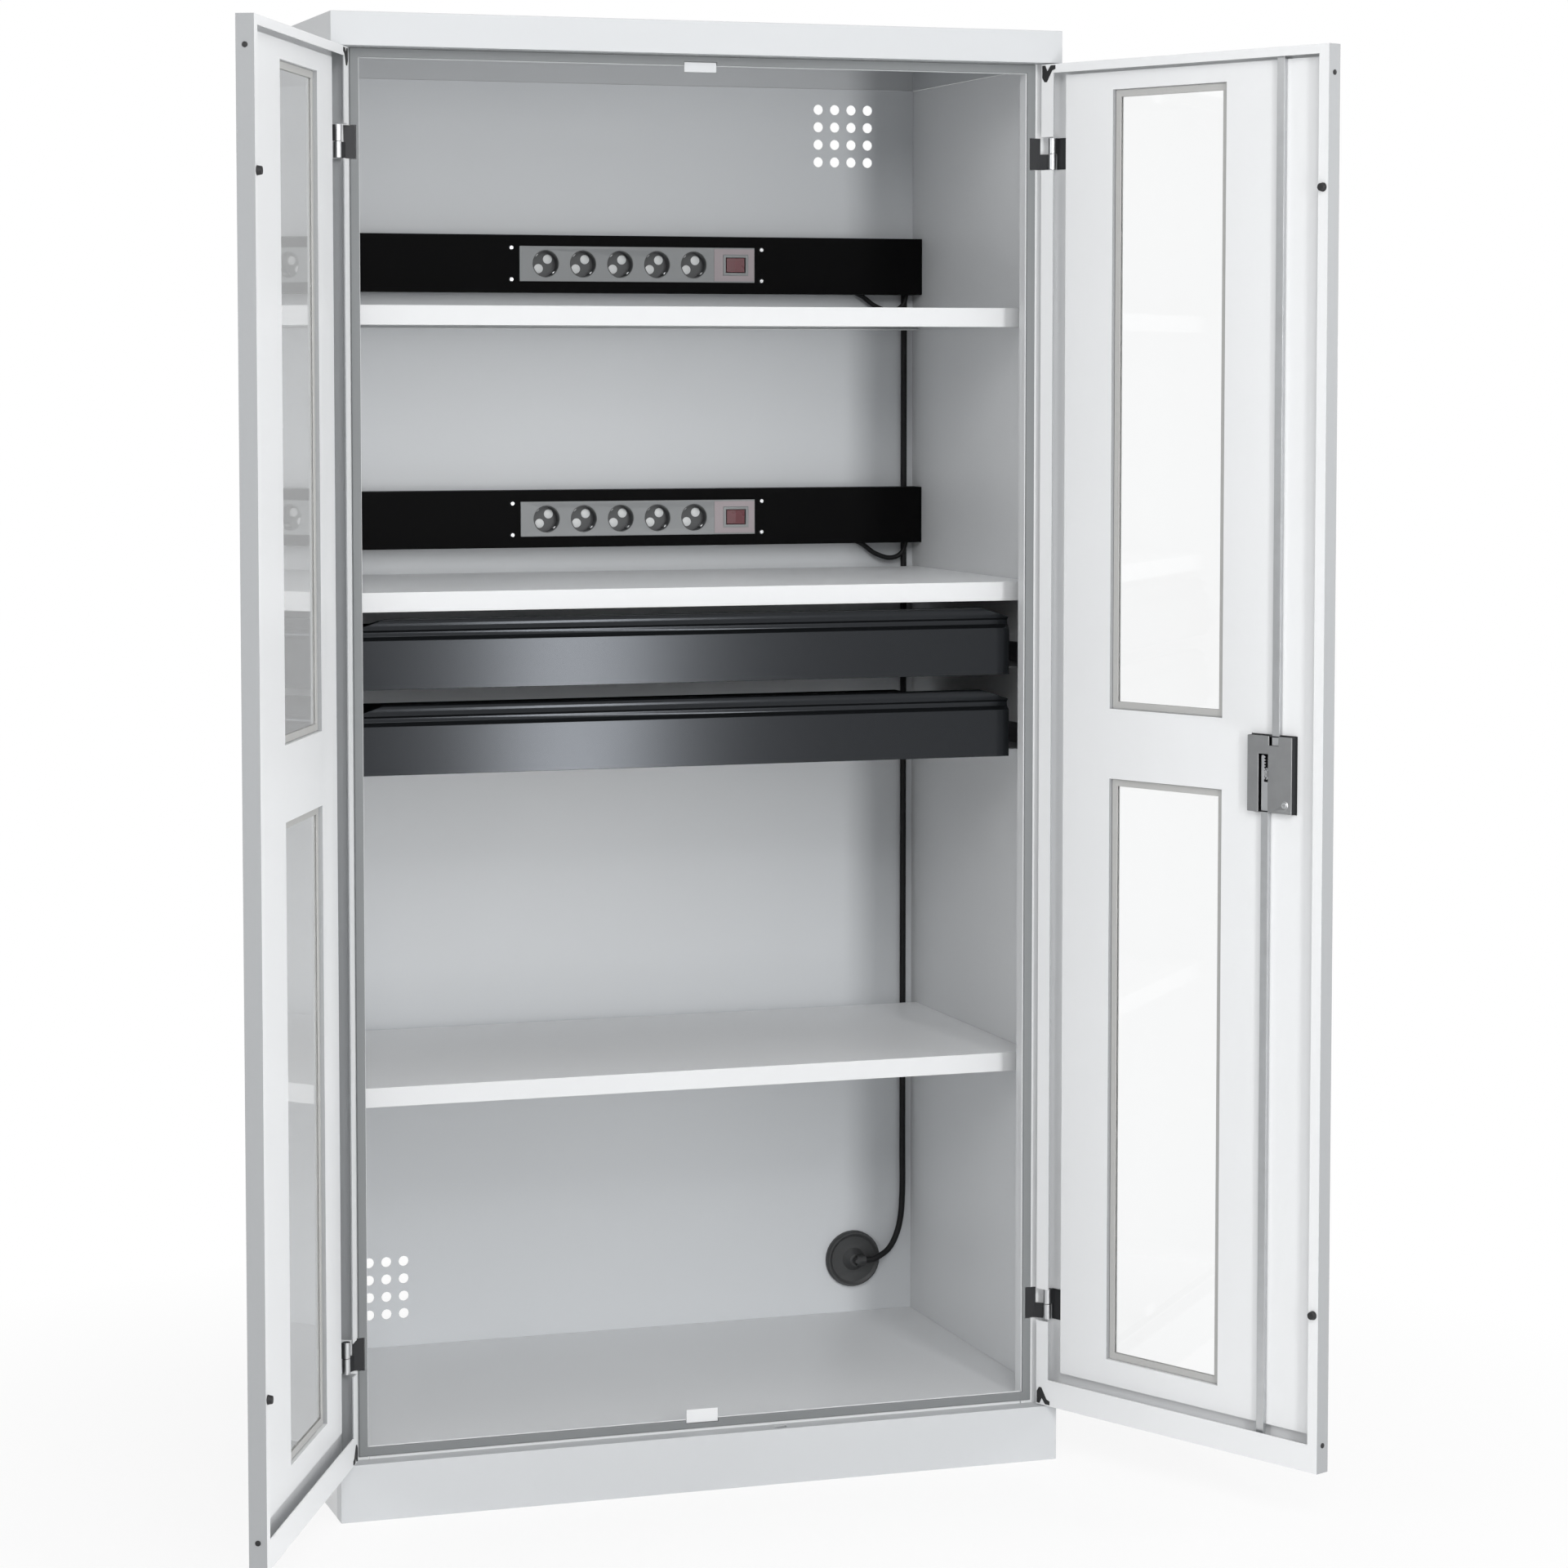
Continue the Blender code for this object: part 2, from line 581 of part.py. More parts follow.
def make_top_panel(parts, cutters, finish):
    """The top with its header, its skirts, the lip above the opening and the top stop."""
    panel = block("top_panel", (-HALF_WIDTH, FRONT_Y, OPENING_TOP_Z),
                  (HALF_WIDTH, BACK_Y, CABINET_HEIGHT), parts)
    lip_back = FRAME_Y + BODY_SHEET
    hollow = block("top hollow", (-INNER_HALF, FRONT_Y + BODY_SHEET, HEADER_Z + BODY_SHEET),
                   (INNER_HALF, BACK_Y - BODY_SHEET, CABINET_HEIGHT - BODY_SHEET), cutters)
    below = block("below top", (-HALF_WIDTH - CUT_OVERRUN, lip_back, OPENING_TOP_Z - CUT_OVERRUN),
                  (HALF_WIDTH + CUT_OVERRUN, BACK_Y + CUT_OVERRUN, HEADER_Z), cutters)
    inner = block("inside skirts", (-INNER_HALF, lip_back, OPENING_TOP_Z - CUT_OVERRUN),
                  (INNER_HALF, BACK_Y - BODY_SHEET, CABINET_HEIGHT - BODY_SHEET), cutters)
    front = block("under header", (-HALF_WIDTH - CUT_OVERRUN, FRONT_Y - CUT_OVERRUN,
                                   OPENING_TOP_Z - CUT_OVERRUN),
                  (HALF_WIDTH + CUT_OVERRUN, FRAME_Y, HEADER_Z), cutters)
    corners = [block("upright room " + name,
                     (side * (OPENING_HALF - SEAT_GAP), FRAME_Y - CUT_OVERRUN,
                      OPENING_TOP_Z - CUT_OVERRUN),
                     (side * (HALF_WIDTH + CUT_OVERRUN), BACK_Y + CUT_OVERRUN, HEADER_Z), cutters)
               for name, side in SIDES.items()]
    strike = rod_hole("top strike cutter", UPPER_ROD_FROM_SIDE, HEADER_Z - CUT_OVERRUN,
                      HEADER_Z + BODY_SHEET + CUT_OVERRUN, cutters)
    combine(panel, "DIFFERENCE", hollow, below, inner, front, *corners, strike)
    top_of_stop = OPENING_TOP_Z + STOP_OVERLAP
    stop = block("top stop", (STOP_SHIFT - STOP_WIDTH / 2, FRAME_Y - STOP_PROUD,
                              top_of_stop - STOP_HEIGHT),
                 (STOP_SHIFT + STOP_WIDTH / 2, FRAME_Y + BODY_SHEET / 2, top_of_stop), cutters)
    combine(panel, "UNION", stop)
    return dress(panel, finish["body"])


def make_floor_panel(parts, cutters, finish):
    """The floor with its skirts, the raised front lip and the bottom stop."""
    half = INNER_HALF - SEAT_GAP
    back = BACK_PANEL_Y - SEAT_GAP
    low = FLOOR_TOP_Z - FLOOR_SKIRT
    floor = block("floor_panel", (-half, FRAME_Y, low), (half, back, OPENING_BOTTOM_Z), parts)
    above = block("above floor", (-HALF_WIDTH, FRAME_Y + BODY_SHEET, FLOOR_TOP_Z),
                  (HALF_WIDTH, BACK_Y, OPENING_BOTTOM_Z + CUT_OVERRUN), cutters)
    below = block("below floor", (-half + BODY_SHEET, FRAME_Y + BODY_SHEET, low - CUT_OVERRUN),
                  (half - BODY_SHEET, back - BODY_SHEET, FLOOR_TOP_Z - BODY_SHEET), cutters)
    corners = [block("floor corner " + name,
                     (side * (OPENING_HALF - CORNER_CLEARANCE), FRAME_Y - CUT_OVERRUN,
                      low - CUT_OVERRUN),
                     (side * HALF_WIDTH, FRAME_Y + UPRIGHT_RETURN + CORNER_CLEARANCE,
                      OPENING_BOTTOM_Z + CUT_OVERRUN), cutters)
               for name, side in SIDES.items()]
    combine(floor, "DIFFERENCE", above, below, *corners)
    foot_of_stop = OPENING_BOTTOM_Z - STOP_OVERLAP
    stop = block("bottom stop", (STOP_SHIFT - STOP_WIDTH / 2, FRAME_Y - STOP_PROUD, foot_of_stop),
                 (STOP_SHIFT + STOP_WIDTH / 2, FRAME_Y + BODY_SHEET / 2,
                  foot_of_stop + STOP_HEIGHT + STOP_OVERLAP), cutters)
    combine(floor, "UNION", stop)
    return dress(floor, finish["body"])


def make_plinth(parts, cutters, finish):
    """The front plinth, a trough that is open to the back."""
    back = FRAME_Y - SEAT_GAP
    plinth = block("plinth", (-HALF_WIDTH, FRONT_Y, 0), (HALF_WIDTH, back, PLINTH_HEIGHT), parts)
    hollow = block("plinth hollow", (-INNER_HALF, FRONT_Y + BODY_SHEET, BODY_SHEET),
                   (INNER_HALF, back + CUT_OVERRUN, PLINTH_HEIGHT - BODY_SHEET), cutters)
    strike = rod_hole("bottom strike cutter", LOWER_ROD_FROM_SIDE,
                      PLINTH_HEIGHT - BODY_SHEET - CUT_OVERRUN, PLINTH_HEIGHT + CUT_OVERRUN,
                      cutters)
    combine(plinth, "DIFFERENCE", hollow, strike)
    return dress(plinth, finish["body"])


def ring_mesh(name, profile, low, high):
    """Sweep a closed profile round a rectangle in the XZ plane.

    The profile's points are an inset from the rectangle's edge and a depth along Y.
    """
    tool = bmesh.new()
    loops = []
    for inset, depth in profile:
        corners = ((low[0] + inset, low[1] + inset), (high[0] - inset, low[1] + inset),
                   (high[0] - inset, high[1] - inset), (low[0] + inset, high[1] - inset))
        loops.append([tool.verts.new((x, depth, z)) for x, z in corners])
    for index, loop in enumerate(loops):
        following = loops[(index + 1) % len(loops)]
        for corner in range(len(loop)):
            after = (corner + 1) % len(loop)
            tool.faces.new((loop[corner], loop[after], following[after], following[corner]))
    return mesh_from(tool, name)


def make_front_seal(parts, cutters, finish):
    """The rubber seal on the frame round the opening, notched at hinges and stops."""
    back = FRAME_Y - SEAT_GAP
    front = back - SEAL_THICKNESS
    outer_half = OPENING_HALF + SEAL_INSET + SEAL_WIDTH
    low_z = OPENING_BOTTOM_Z - SEAL_INSET - SEAL_WIDTH
    high_z = OPENING_TOP_Z + SEAL_INSET + SEAL_WIDTH
    round_off = SEAL_THICKNESS * SEAL_ROUND_SHARE
    profile = [(0, back), (0, front + round_off), (round_off, front),
               (SEAL_WIDTH - round_off, front), (SEAL_WIDTH, front + round_off),
               (SEAL_WIDTH, back)]
    mesh = ring_mesh("front_seal", profile, (-outer_half, low_z), (outer_half, high_z))
    seal = add_object("front_seal", mesh, parts)
    notches = []
    leaf_inner = AXIS_X - FRAME_LEAF_REACH - NOTCH_CLEARANCE
    for side_name, side in SIDES.items():
        for level, z in HINGE_HEIGHTS.items():
            reach = HINGE_HEIGHT / 2 + NOTCH_CLEARANCE
            notches.append(block("seal notch " + side_name + level,
                                 (side * leaf_inner, front - CUT_OVERRUN, z - reach),
                                 (side * HALF_WIDTH, FRAME_Y, z + reach), cutters))
    stop_reach = STOP_WIDTH / 2 + NOTCH_CLEARANCE
    for level, low, high in (
            ("top", OPENING_TOP_Z - CUT_OVERRUN,
             OPENING_TOP_Z + STOP_OVERLAP + NOTCH_CLEARANCE),
            ("bottom", OPENING_BOTTOM_Z - STOP_OVERLAP - NOTCH_CLEARANCE,
             OPENING_BOTTOM_Z + CUT_OVERRUN)):
        notches.append(block("stop notch " + level,
                             (STOP_SHIFT - stop_reach, front - CUT_OVERRUN, low),
                             (STOP_SHIFT + stop_reach, FRAME_Y, high), cutters))
    combine(seal, "DIFFERENCE", *notches)
    return dress(seal, finish["seal"])


def make_shelf(name, top_z, parts, cutters, finish):
    """A folded shelf from wall to wall, with returned lips under its front and back."""
    half = INNER_HALF - SEAT_GAP
    low_z = top_z - SHELF_HEIGHT
    shelf = block(name, (-half, SHELF_FRONT_Y, low_z), (half, SHELF_BACK_Y, top_z), parts)
    inner = half - SHELF_SHEET
    hollow = block(name + " hollow",
                   (-inner, SHELF_FRONT_Y + SHELF_SHEET, low_z + SHELF_SHEET),
                   (inner, SHELF_BACK_Y - SHELF_SHEET, top_z - SHELF_SHEET), cutters)
    mouth = block(name + " mouth", (-inner, SHELF_FRONT_Y + SHELF_RETURN, low_z - CUT_OVERRUN),
                  (inner, SHELF_BACK_Y - SHELF_RETURN, low_z + CUT_OVERRUN), cutters)
    combine(shelf, "DIFFERENCE", hollow, mouth)
    return dress(shelf, finish["body"])


def strip_centre_z(rail_z):
    """Height of a socket strip's middle on its rail."""
    return rail_z + RAIL_HEIGHT / 2


def make_power_rail(name, rail_z, parts, cutters, finish):
    """A black channel across the back wall that carries a socket strip and hides its cables."""
    half = INNER_HALF - SEAT_GAP
    back = BACK_PANEL_Y - SEAT_GAP
    top_z = rail_z + RAIL_HEIGHT
    rail = block(name, (-half, RAIL_Y, rail_z), (half, back, top_z), parts)
    hollow = block(name + " hollow", (-half + RAIL_SHEET, RAIL_Y + RAIL_SHEET, rail_z + RAIL_SHEET),
                   (half - RAIL_SHEET, back + CUT_OVERRUN, top_z - RAIL_SHEET), cutters)
    middle = strip_centre_z(rail_z)
    window = block(name + " strip window",
                   (STRIP_LEFT_X + STRIP_LAP - SEAT_GAP, RAIL_Y - CUT_OVERRUN,
                    middle - STRIP_HEIGHT / 2 + STRIP_LAP - SEAT_GAP),
                   (STRIP_LEFT_X + STRIP_LENGTH - STRIP_LAP + SEAT_GAP, RAIL_Y + CUT_OVERRUN,
                    middle + STRIP_HEIGHT / 2 - STRIP_LAP + SEAT_GAP), cutters)
    room = TRUNK_DIAMETER / 2 + CABLE_HOLE_CLEARANCE
    trunk_slot = block(name + " trunk slot",
                       (TRUNK_X - room, LEAD_Y - LEAD_DIAMETER / 2 - CABLE_HOLE_CLEARANCE,
                        rail_z - CUT_OVERRUN),
                       (TRUNK_X + room, back + CUT_OVERRUN, top_z + CUT_OVERRUN), cutters)
    lead_room = LEAD_DIAMETER / 2 + CABLE_HOLE_CLEARANCE
    lead_slot = block(name + " lead slot",
                      (LEAD_EXIT_X - LEAD_SLOT_LENGTH / 2, LEAD_Y - lead_room,
                       rail_z - CUT_OVERRUN),
                      (LEAD_EXIT_X + LEAD_SLOT_LENGTH / 2, LEAD_Y + lead_room,
                       rail_z + RAIL_SHEET + CUT_OVERRUN), cutters)
    combine(rail, "DIFFERENCE", hollow, window, trunk_slot, lead_slot)
    return dress(rail, finish["black"])


def make_socket_strip(name, rail_z, parts, cutters, finish):
    """A socket strip with round recessed sockets and a switch pocket with a raised frame."""
    middle = strip_centre_z(rail_z)
    face_back = RAIL_Y - SEAT_GAP
    face_front = face_back - STRIP_FACE
    half_height = STRIP_HEIGHT / 2
    right_x = STRIP_LEFT_X + STRIP_LENGTH
    strip = block(name, (STRIP_LEFT_X, face_front, middle - half_height),
                  (right_x, face_back, middle + half_height), parts)
    body = block(name + " body",
                 (STRIP_LEFT_X + STRIP_LAP, face_front + STRIP_FACE / 2,
                  middle - half_height + STRIP_LAP),
                 (right_x - STRIP_LAP, face_back + STRIP_BODY_DEPTH,
                  middle + half_height - STRIP_LAP), cutters)
    frame_half_width = SWITCH_WIDTH / 2 + SWITCH_FRAME
    frame_half_height = SWITCH_HEIGHT / 2 + SWITCH_FRAME
    frame = block(name + " switch frame",
                  (SWITCH_X - frame_half_width, face_front - SWITCH_FRAME_RISE,
                   middle - frame_half_height),
                  (SWITCH_X + frame_half_width, face_front + STRIP_FACE / 2,
                   middle + frame_half_height), cutters)
    combine(strip, "UNION", body, frame)
    pocket = block(name + " switch pocket",
                   (SWITCH_X - SWITCH_WIDTH / 2, face_front - CUT_OVERRUN,
                    middle - SWITCH_HEIGHT / 2),
                   (SWITCH_X + SWITCH_WIDTH / 2, face_front + SWITCH_POCKET_DEPTH,
                    middle + SWITCH_HEIGHT / 2), cutters)
    tools = [pocket]
    inward = Vector((0, 1, 0))
    for index in range(SOCKET_COUNT):
        x = FIRST_SOCKET_X + index * SOCKET_PITCH
        tools.append(drum(name + " socket", Vector((x, face_front - CUT_OVERRUN, middle)), inward,
                          SOCKET_DEPTH + CUT_OVERRUN, SOCKET_RADIUS, cutters))
        for end in (-1, 1):
            across = end * CONTACT_SPACING / 2
            place = Vector((x + across * math.cos(CONTACT_TILT), face_front + SOCKET_DEPTH / 2,
                            middle + across * math.sin(CONTACT_TILT)))
            tools.append(drum(name + " contact", place, inward,
                              SOCKET_DEPTH / 2 + CONTACT_DEPTH, CONTACT_RADIUS, cutters,
                              sides=ARC_STEPS))
    combine(strip, "DIFFERENCE", *tools)
    return dress(strip, finish["grey plastic"])


def make_rocker(name, rail_z, parts, finish):
    """The rocker of a strip's switch, on its pivot, with one half pressed in."""
    middle = strip_centre_z(rail_z)
    pivot_y = RAIL_Y - SEAT_GAP - STRIP_FACE + ROCKER_DEPTH / 2
    pivot = empty_at(name + " pivot", (SWITCH_X, pivot_y, middle), parts)
    front = -ROCKER_DEPTH / 2 - ROCKER_PROUD
    swing = front * math.sin(ROCKER_TILT)
    half = (SWITCH_WIDTH / 2 - SWITCH_CLEARANCE + swing) / math.cos(ROCKER_TILT)
    half_height = SWITCH_HEIGHT / 2 - SWITCH_CLEARANCE
    drop = half * math.tan(2 * ROCKER_TILT)
    heel = half * math.cos(ROCKER_TILT) - ROCKER_DEPTH * math.sin(ROCKER_TILT)
    outline = [(-half, front), (0, front + drop / 2), (half, front),
               (heel, ROCKER_DEPTH / 2), (-heel, ROCKER_DEPTH / 2)]
    rocker = outline_solid(name, outline, -half_height, half_height, ALONG_Z, parts, pivot)
    pivot.rotation_euler = (0, 0, -ROCKER_TILT)
    return dress(rocker, finish["red"])


def make_inlet(parts, cutters, finish):
    """The round mains inlet on the back wall, with its domed hub and the cable's gland."""
    profile = [
        (0, INLET_DOME_HEIGHT),
        (INLET_DOME_RADIUS / 2, INLET_DOME_HEIGHT),
        (INLET_DOME_RADIUS, INLET_FACE_HEIGHT),
        (INLET_RADIUS - INLET_RIM, INLET_FACE_HEIGHT),
        (INLET_RADIUS - INLET_RIM / 2, INLET_RIM_HEIGHT),
        (INLET_RADIUS - INLET_RIM / 4, INLET_RIM_HEIGHT),
        (INLET_RADIUS, INLET_RIM_HEIGHT / 2),
        (INLET_RADIUS, 0),
        (INLET_SPIGOT_RADIUS, 0),
        (INLET_SPIGOT_RADIUS, -BACK_SHEET - SEAT_GAP),
        (0, -BACK_SHEET - SEAT_GAP),
    ]
    tool = bmesh.new()
    verts = [tool.verts.new((radius, 0, height)) for radius, height in profile]
    for first, second in zip(verts, verts[1:]):
        tool.edges.new((first, second))
    mesh = bpy.data.meshes.new("mains_inlet")
    tool.to_mesh(mesh)
    tool.free()
    inlet = add_object("mains_inlet", mesh, parts)
    screw = inlet.modifiers.new("Turned disc", "SCREW")
    screw.steps = TURN_STEPS
    screw.render_steps = TURN_STEPS
    screw.use_merge_vertices = True
    screw.merge_threshold = WELD
    bake(inlet)
    wall_y = BACK_PANEL_Y - SEAT_GAP
    place = Matrix.Translation((INLET_X, wall_y, INLET_Z))
    inlet.data.transform(place @ Matrix.Rotation(math.pi / 2, 4, "X"))
    gland_y = wall_y - GLAND_STANDOFF
    gland = drum("gland", Vector((INLET_X, gland_y, INLET_Z)), Vector((1, 0, 0)), GLAND_REACH,
                 GLAND_RADIUS, cutters)
    hub = drum("gland hub", Vector((INLET_X, wall_y - INLET_FACE_HEIGHT / 2, INLET_Z)),
               Vector((0, -1, 0)), GLAND_STANDOFF + GLAND_RADIUS - INLET_FACE_HEIGHT / 2,
               GLAND_RADIUS, cutters, tip=GLAND_RADIUS * GLAND_HUB_TIP_SHARE)
    combine(inlet, "UNION", gland, hub)
    return dress(inlet, finish["plastic"])


def smooth_route(points, step):
    """Points a step apart on a smooth curve through a route's own points."""
    route = [Vector(point) for point in points]
    padded = [2 * route[0] - route[1]] + route + [2 * route[-1] - route[-2]]
    fine = [route[0]]
    for before, start, end, after in zip(padded, padded[1:], padded[2:], padded[3:]):
        count = max(1, round((end - start).length / step))
        for index in range(1, count + 1):
            t = index / count
            fine.append(((2 * start) + (end - before) * t
                         + (2 * before - 5 * start + 4 * end - after) * t ** 2
                         + (3 * start - before - 3 * end + after) * t ** 3) / 2)
    return fine


def make_cable(name, points, diameter, step, parts, finish):
    """A round cable along a smooth route."""
    curve = bpy.data.curves.new(name, "CURVE")
    curve.dimensions = "3D"
    curve.bevel_depth = diameter / 2
    curve.bevel_resolution = 2
    curve.use_fill_caps = True
    fine = smooth_route(points, step)
    spline = curve.splines.new("POLY")
    spline.points.add(len(fine) - 1)
    for point, place in zip(spline.points, fine):
        point.co = (*place, 1)
    cable = add_object(name, curve, parts)
    return dress(cable, finish["cable"])


def lead_points(rail_z):
    """Route of a strip's lead: out of the strip, through the rail's floor and up to the trunk."""
    middle = strip_centre_z(rail_z)
    start_x = STRIP_LEFT_X + STRIP_LENGTH - STRIP_LAP + SEAT_GAP
    inside_z = rail_z + RAIL_SHEET + LEAD_DIAMETER
    first_x, second_x = [start_x + (LEAD_EXIT_X - start_x) * share for share in LEAD_RUN_SHARES]
    rise_x = LEAD_TURN_X + (TRUNK_X - LEAD_TURN_X) * LEAD_RISE_SHARE
    return [
        (start_x, LEAD_Y, middle),
        (first_x, LEAD_Y, middle - RAIL_HEIGHT * LEAD_FIRST_DROP_SHARE),
        (second_x, LEAD_Y, inside_z + LEAD_DIAMETER),
        (LEAD_EXIT_X, LEAD_Y, rail_z),
        ((LEAD_EXIT_X + LEAD_TURN_X) / 2, LEAD_Y, rail_z - LEAD_DIP * LEAD_BOW_SHARE),
        (LEAD_TURN_X, LEAD_Y, rail_z - LEAD_DIP),
        (rise_x, LEAD_Y, rail_z - LEAD_DIP * LEAD_RISE_SHARE),
        (TRUNK_X, LEAD_Y, rail_z),
        (TRUNK_X, LEAD_Y, rail_z + RAIL_HEIGHT * LEAD_END_SHARE),
    ]


def trunk_points():
    """Route of the trunk cable: down the back wall, then round to the inlet's gland."""
    gland_x = INLET_X + GLAND_REACH + SEAT_GAP
    gland_y = BACK_PANEL_Y - SEAT_GAP - GLAND_STANDOFF
    top_z = UPPER_RAIL_Z + RAIL_HEIGHT / 2
    across = TRUNK_X - gland_x
    forward = gland_y - TRUNK_Y
    drop = TRUNK_BEND_Z - INLET_Z
    sweep = [(TRUNK_X - across * left, TRUNK_Y + forward * front, INLET_Z + drop * lift)
             for left, front, lift in TRUNK_SWEEP_SHARES]
    straight = [(TRUNK_X, TRUNK_Y, TRUNK_BEND_Z + drop * share) for share in TRUNK_DROP_SHARES]
    return [
        (TRUNK_X, TRUNK_Y, top_z),
        *straight,
        *sweep,
        (gland_x + TRUNK_DIAMETER * 2, gland_y, INLET_Z + drop * TRUNK_END_LIFT_SHARE),
        (gland_x + TRUNK_DIAMETER, gland_y, INLET_Z),
        (gland_x, gland_y, INLET_Z),
    ]


def door_box(side, from_side, depth, height):
    """Corners of a box on a shut door, measured from the cabinet's side and outer face."""
    xs = [side * (HALF_WIDTH - value - AXIS_X) for value in from_side]
    ys = [FRONT_Y + value - AXIS_Y for value in depth]
    return (xs[0], ys[0], height[0]), (xs[1], ys[1], height[1])


def door_point(side, from_side, depth, z):
    """A point on a shut door, seen from its hinge axis."""
    return Vector((side * (HALF_WIDTH - from_side - AXIS_X), FRONT_Y + depth - AXIS_Y, z))


def make_inner_panel(name, side, hinge, cutters):
    """The raised inner panel of a door: a face with side flanges, and a reveal round each window.

    It is open at its top and bottom, and its flanges stand on the door's outer sheet.
    """
    left = INNER_PANEL_FROM_SIDE
    right = DOOR_FREE - FREE_LIP - INNER_PANEL_FREE_GAP
    foot = DOOR_SHEET / 2
    path = [(left, foot), (left, INNER_PANEL_DEPTH), (right, INNER_PANEL_DEPTH), (right, foot)]
    outline = [door_point(side, from_side, depth, 0).xy
               for from_side, depth in folded_outline(path, -INNER_PANEL_SHEET)]
    panel = outline_solid(name + " inner panel", outline,
                          DOOR_BOTTOM_Z + BOTTOM_DOOR_LIP + INNER_PANEL_BOTTOM_GAP,
                          DOOR_TOP_Z - TOP_DOOR_LIP - INNER_PANEL_TOP_GAP, ALONG_Z, cutters, hinge)
    pieces = [panel]
    reach = REVEAL_CLEARANCE + INNER_PANEL_SHEET
    for level, (bottom, height) in WINDOWS.items():
        pieces.append(block(name + " reveal " + level, *door_box(
            side, (WINDOW_FROM_SIDE - reach, WINDOW_FROM_SIDE + WINDOW_WIDTH + reach),
            (foot, INNER_PANEL_DEPTH - INNER_PANEL_SHEET / 2),
            (bottom - reach, bottom + height + reach)), cutters, hinge))
    return pieces


def make_door_pan(side_name, side, hinge, parts, cutters, finish):
    """A door leaf folded as a tray, with an inner panel, windows, hinge notches and rod slots."""
    name = "door_pan_" + side_name
    span = (DOOR_BOTTOM_Z, DOOR_TOP_Z)
    edges = (DOOR_SIDE_GAP, DOOR_FREE)
    pan = block(name, *door_box(side, edges, (0, DOOR_THICKNESS), span), parts, hinge)
    lip_depth = DOOR_THICKNESS - DOOR_SHEET
    hollow = block(name + " hollow", *door_box(
        side, (edges[0] + DOOR_SHEET, edges[1] - DOOR_SHEET), (DOOR_SHEET, lip_depth),
        (span[0] + DOOR_SHEET, span[1] - DOOR_SHEET)), cutters, hinge)
    mouth = block(name + " mouth", *door_box(
        side, (edges[0] + HINGE_LIP, edges[1] - FREE_LIP),
        (lip_depth - DOOR_SHEET, DOOR_THICKNESS + CUT_OVERRUN),
        (span[0] + BOTTOM_DOOR_LIP, span[1] - TOP_DOOR_LIP)), cutters, hinge)
    combine(pan, "DIFFERENCE", hollow, mouth)
    combine(pan, "UNION", *make_inner_panel(name, side, hinge, cutters))
    tools = []
    through = (-CUT_OVERRUN, DOOR_SHEET * 2)
    above_sheet = (DOOR_SHEET, INNER_PANEL_DEPTH + CUT_OVERRUN)
    for level, (bottom, height) in WINDOWS.items():
        tools.append(block(name + " window well " + level, *door_box(
            side, (WINDOW_FROM_SIDE - REVEAL_CLEARANCE,
                   WINDOW_FROM_SIDE + WINDOW_WIDTH + REVEAL_CLEARANCE), above_sheet,
            (bottom - REVEAL_CLEARANCE, bottom + height + REVEAL_CLEARANCE)), cutters, hinge))
        room = GASKET_LAP - SEAT_GAP
        tools.append(block(name + " window " + level, *door_box(
            side, (WINDOW_FROM_SIDE + room, WINDOW_FROM_SIDE + WINDOW_WIDTH - room), through,
            (bottom + room, bottom + height - room)), cutters, hinge))
    for level, z in HINGE_HEIGHTS.items():
        reach = HINGE_HEIGHT / 2 + HINGE_NOTCH_CLEARANCE
        tools.append(block(name + " hinge notch " + level, *door_box(
            side, (-CUT_OVERRUN, DOOR_SIDE_GAP + HINGE_LIP + DOOR_SHEET),
            (DOOR_SHEET, DOOR_THICKNESS + CUT_OVERRUN), (z - reach, z + reach)), cutters, hinge))
    if side > 0:
        tools += lock_cutters(name, side, hinge, cutters)
    combine(pan, "DIFFERENCE", *tools)
    return dress(pan, finish["body"])


def rod_window(name, side, from_side, clearance, height, hinge, cutters):
    """Cutter for a slot that a rod slides through."""
    half_width = ROD_WIDTH / 2 + clearance
    half_depth = ROD_THICKNESS / 2 + clearance
    return block(name, *door_box(side, (from_side - half_width, from_side + half_width),
                                 (ROD_DEPTH - half_depth, ROD_DEPTH + half_depth), height),
                 cutters, hinge)


def case_span():
    """The lock case's two edges, measured from the cabinet's side."""
    left = LOCK_FROM_SIDE + CASE_SHIFT - CASE_WIDTH / 2
    return left, left + CASE_WIDTH


def lock_cutters(name, side, hinge, cutters):
    """Holes that the lock needs in its door: the case's cut-out, rod slots and spindle's hole."""
    left, right = case_span()
    low_z, high_z = LOCK_Z - CASE_HEIGHT / 2, LOCK_Z + CASE_HEIGHT / 2
    room = LOCK_CUTOUT_CLEARANCE
    cutout = block(name + " lock cut-out", *door_box(
        side, (left - room, right + room), (DOOR_SHEET, INNER_PANEL_DEPTH + CUT_OVERRUN),
        (low_z - room, high_z + room)), cutters, hinge)
    top = rod_window(name + " top rod slot", side, UPPER_ROD_FROM_SIDE, ROD_SLOT_CLEARANCE,
                     (DOOR_TOP_Z - DOOR_SHEET - CUT_OVERRUN, DOOR_TOP_Z + CUT_OVERRUN),
                     hinge, cutters)
    bottom = rod_window(name + " bottom rod slot", side, LOWER_ROD_FROM_SIDE, ROD_SLOT_CLEARANCE,
                        (DOOR_BOTTOM_Z - CUT_OVERRUN, DOOR_BOTTOM_Z + DOOR_SHEET + CUT_OVERRUN),
                        hinge, cutters)
    spindle = drum(name + " spindle hole", door_point(side, LOCK_FROM_SIDE, -CUT_OVERRUN, LOCK_Z),
                   Vector((0, 1, 0)), 2 * CUT_OVERRUN, SPINDLE_HOLE_RADIUS, cutters, hinge)
    return [cutout, top, bottom, spindle]


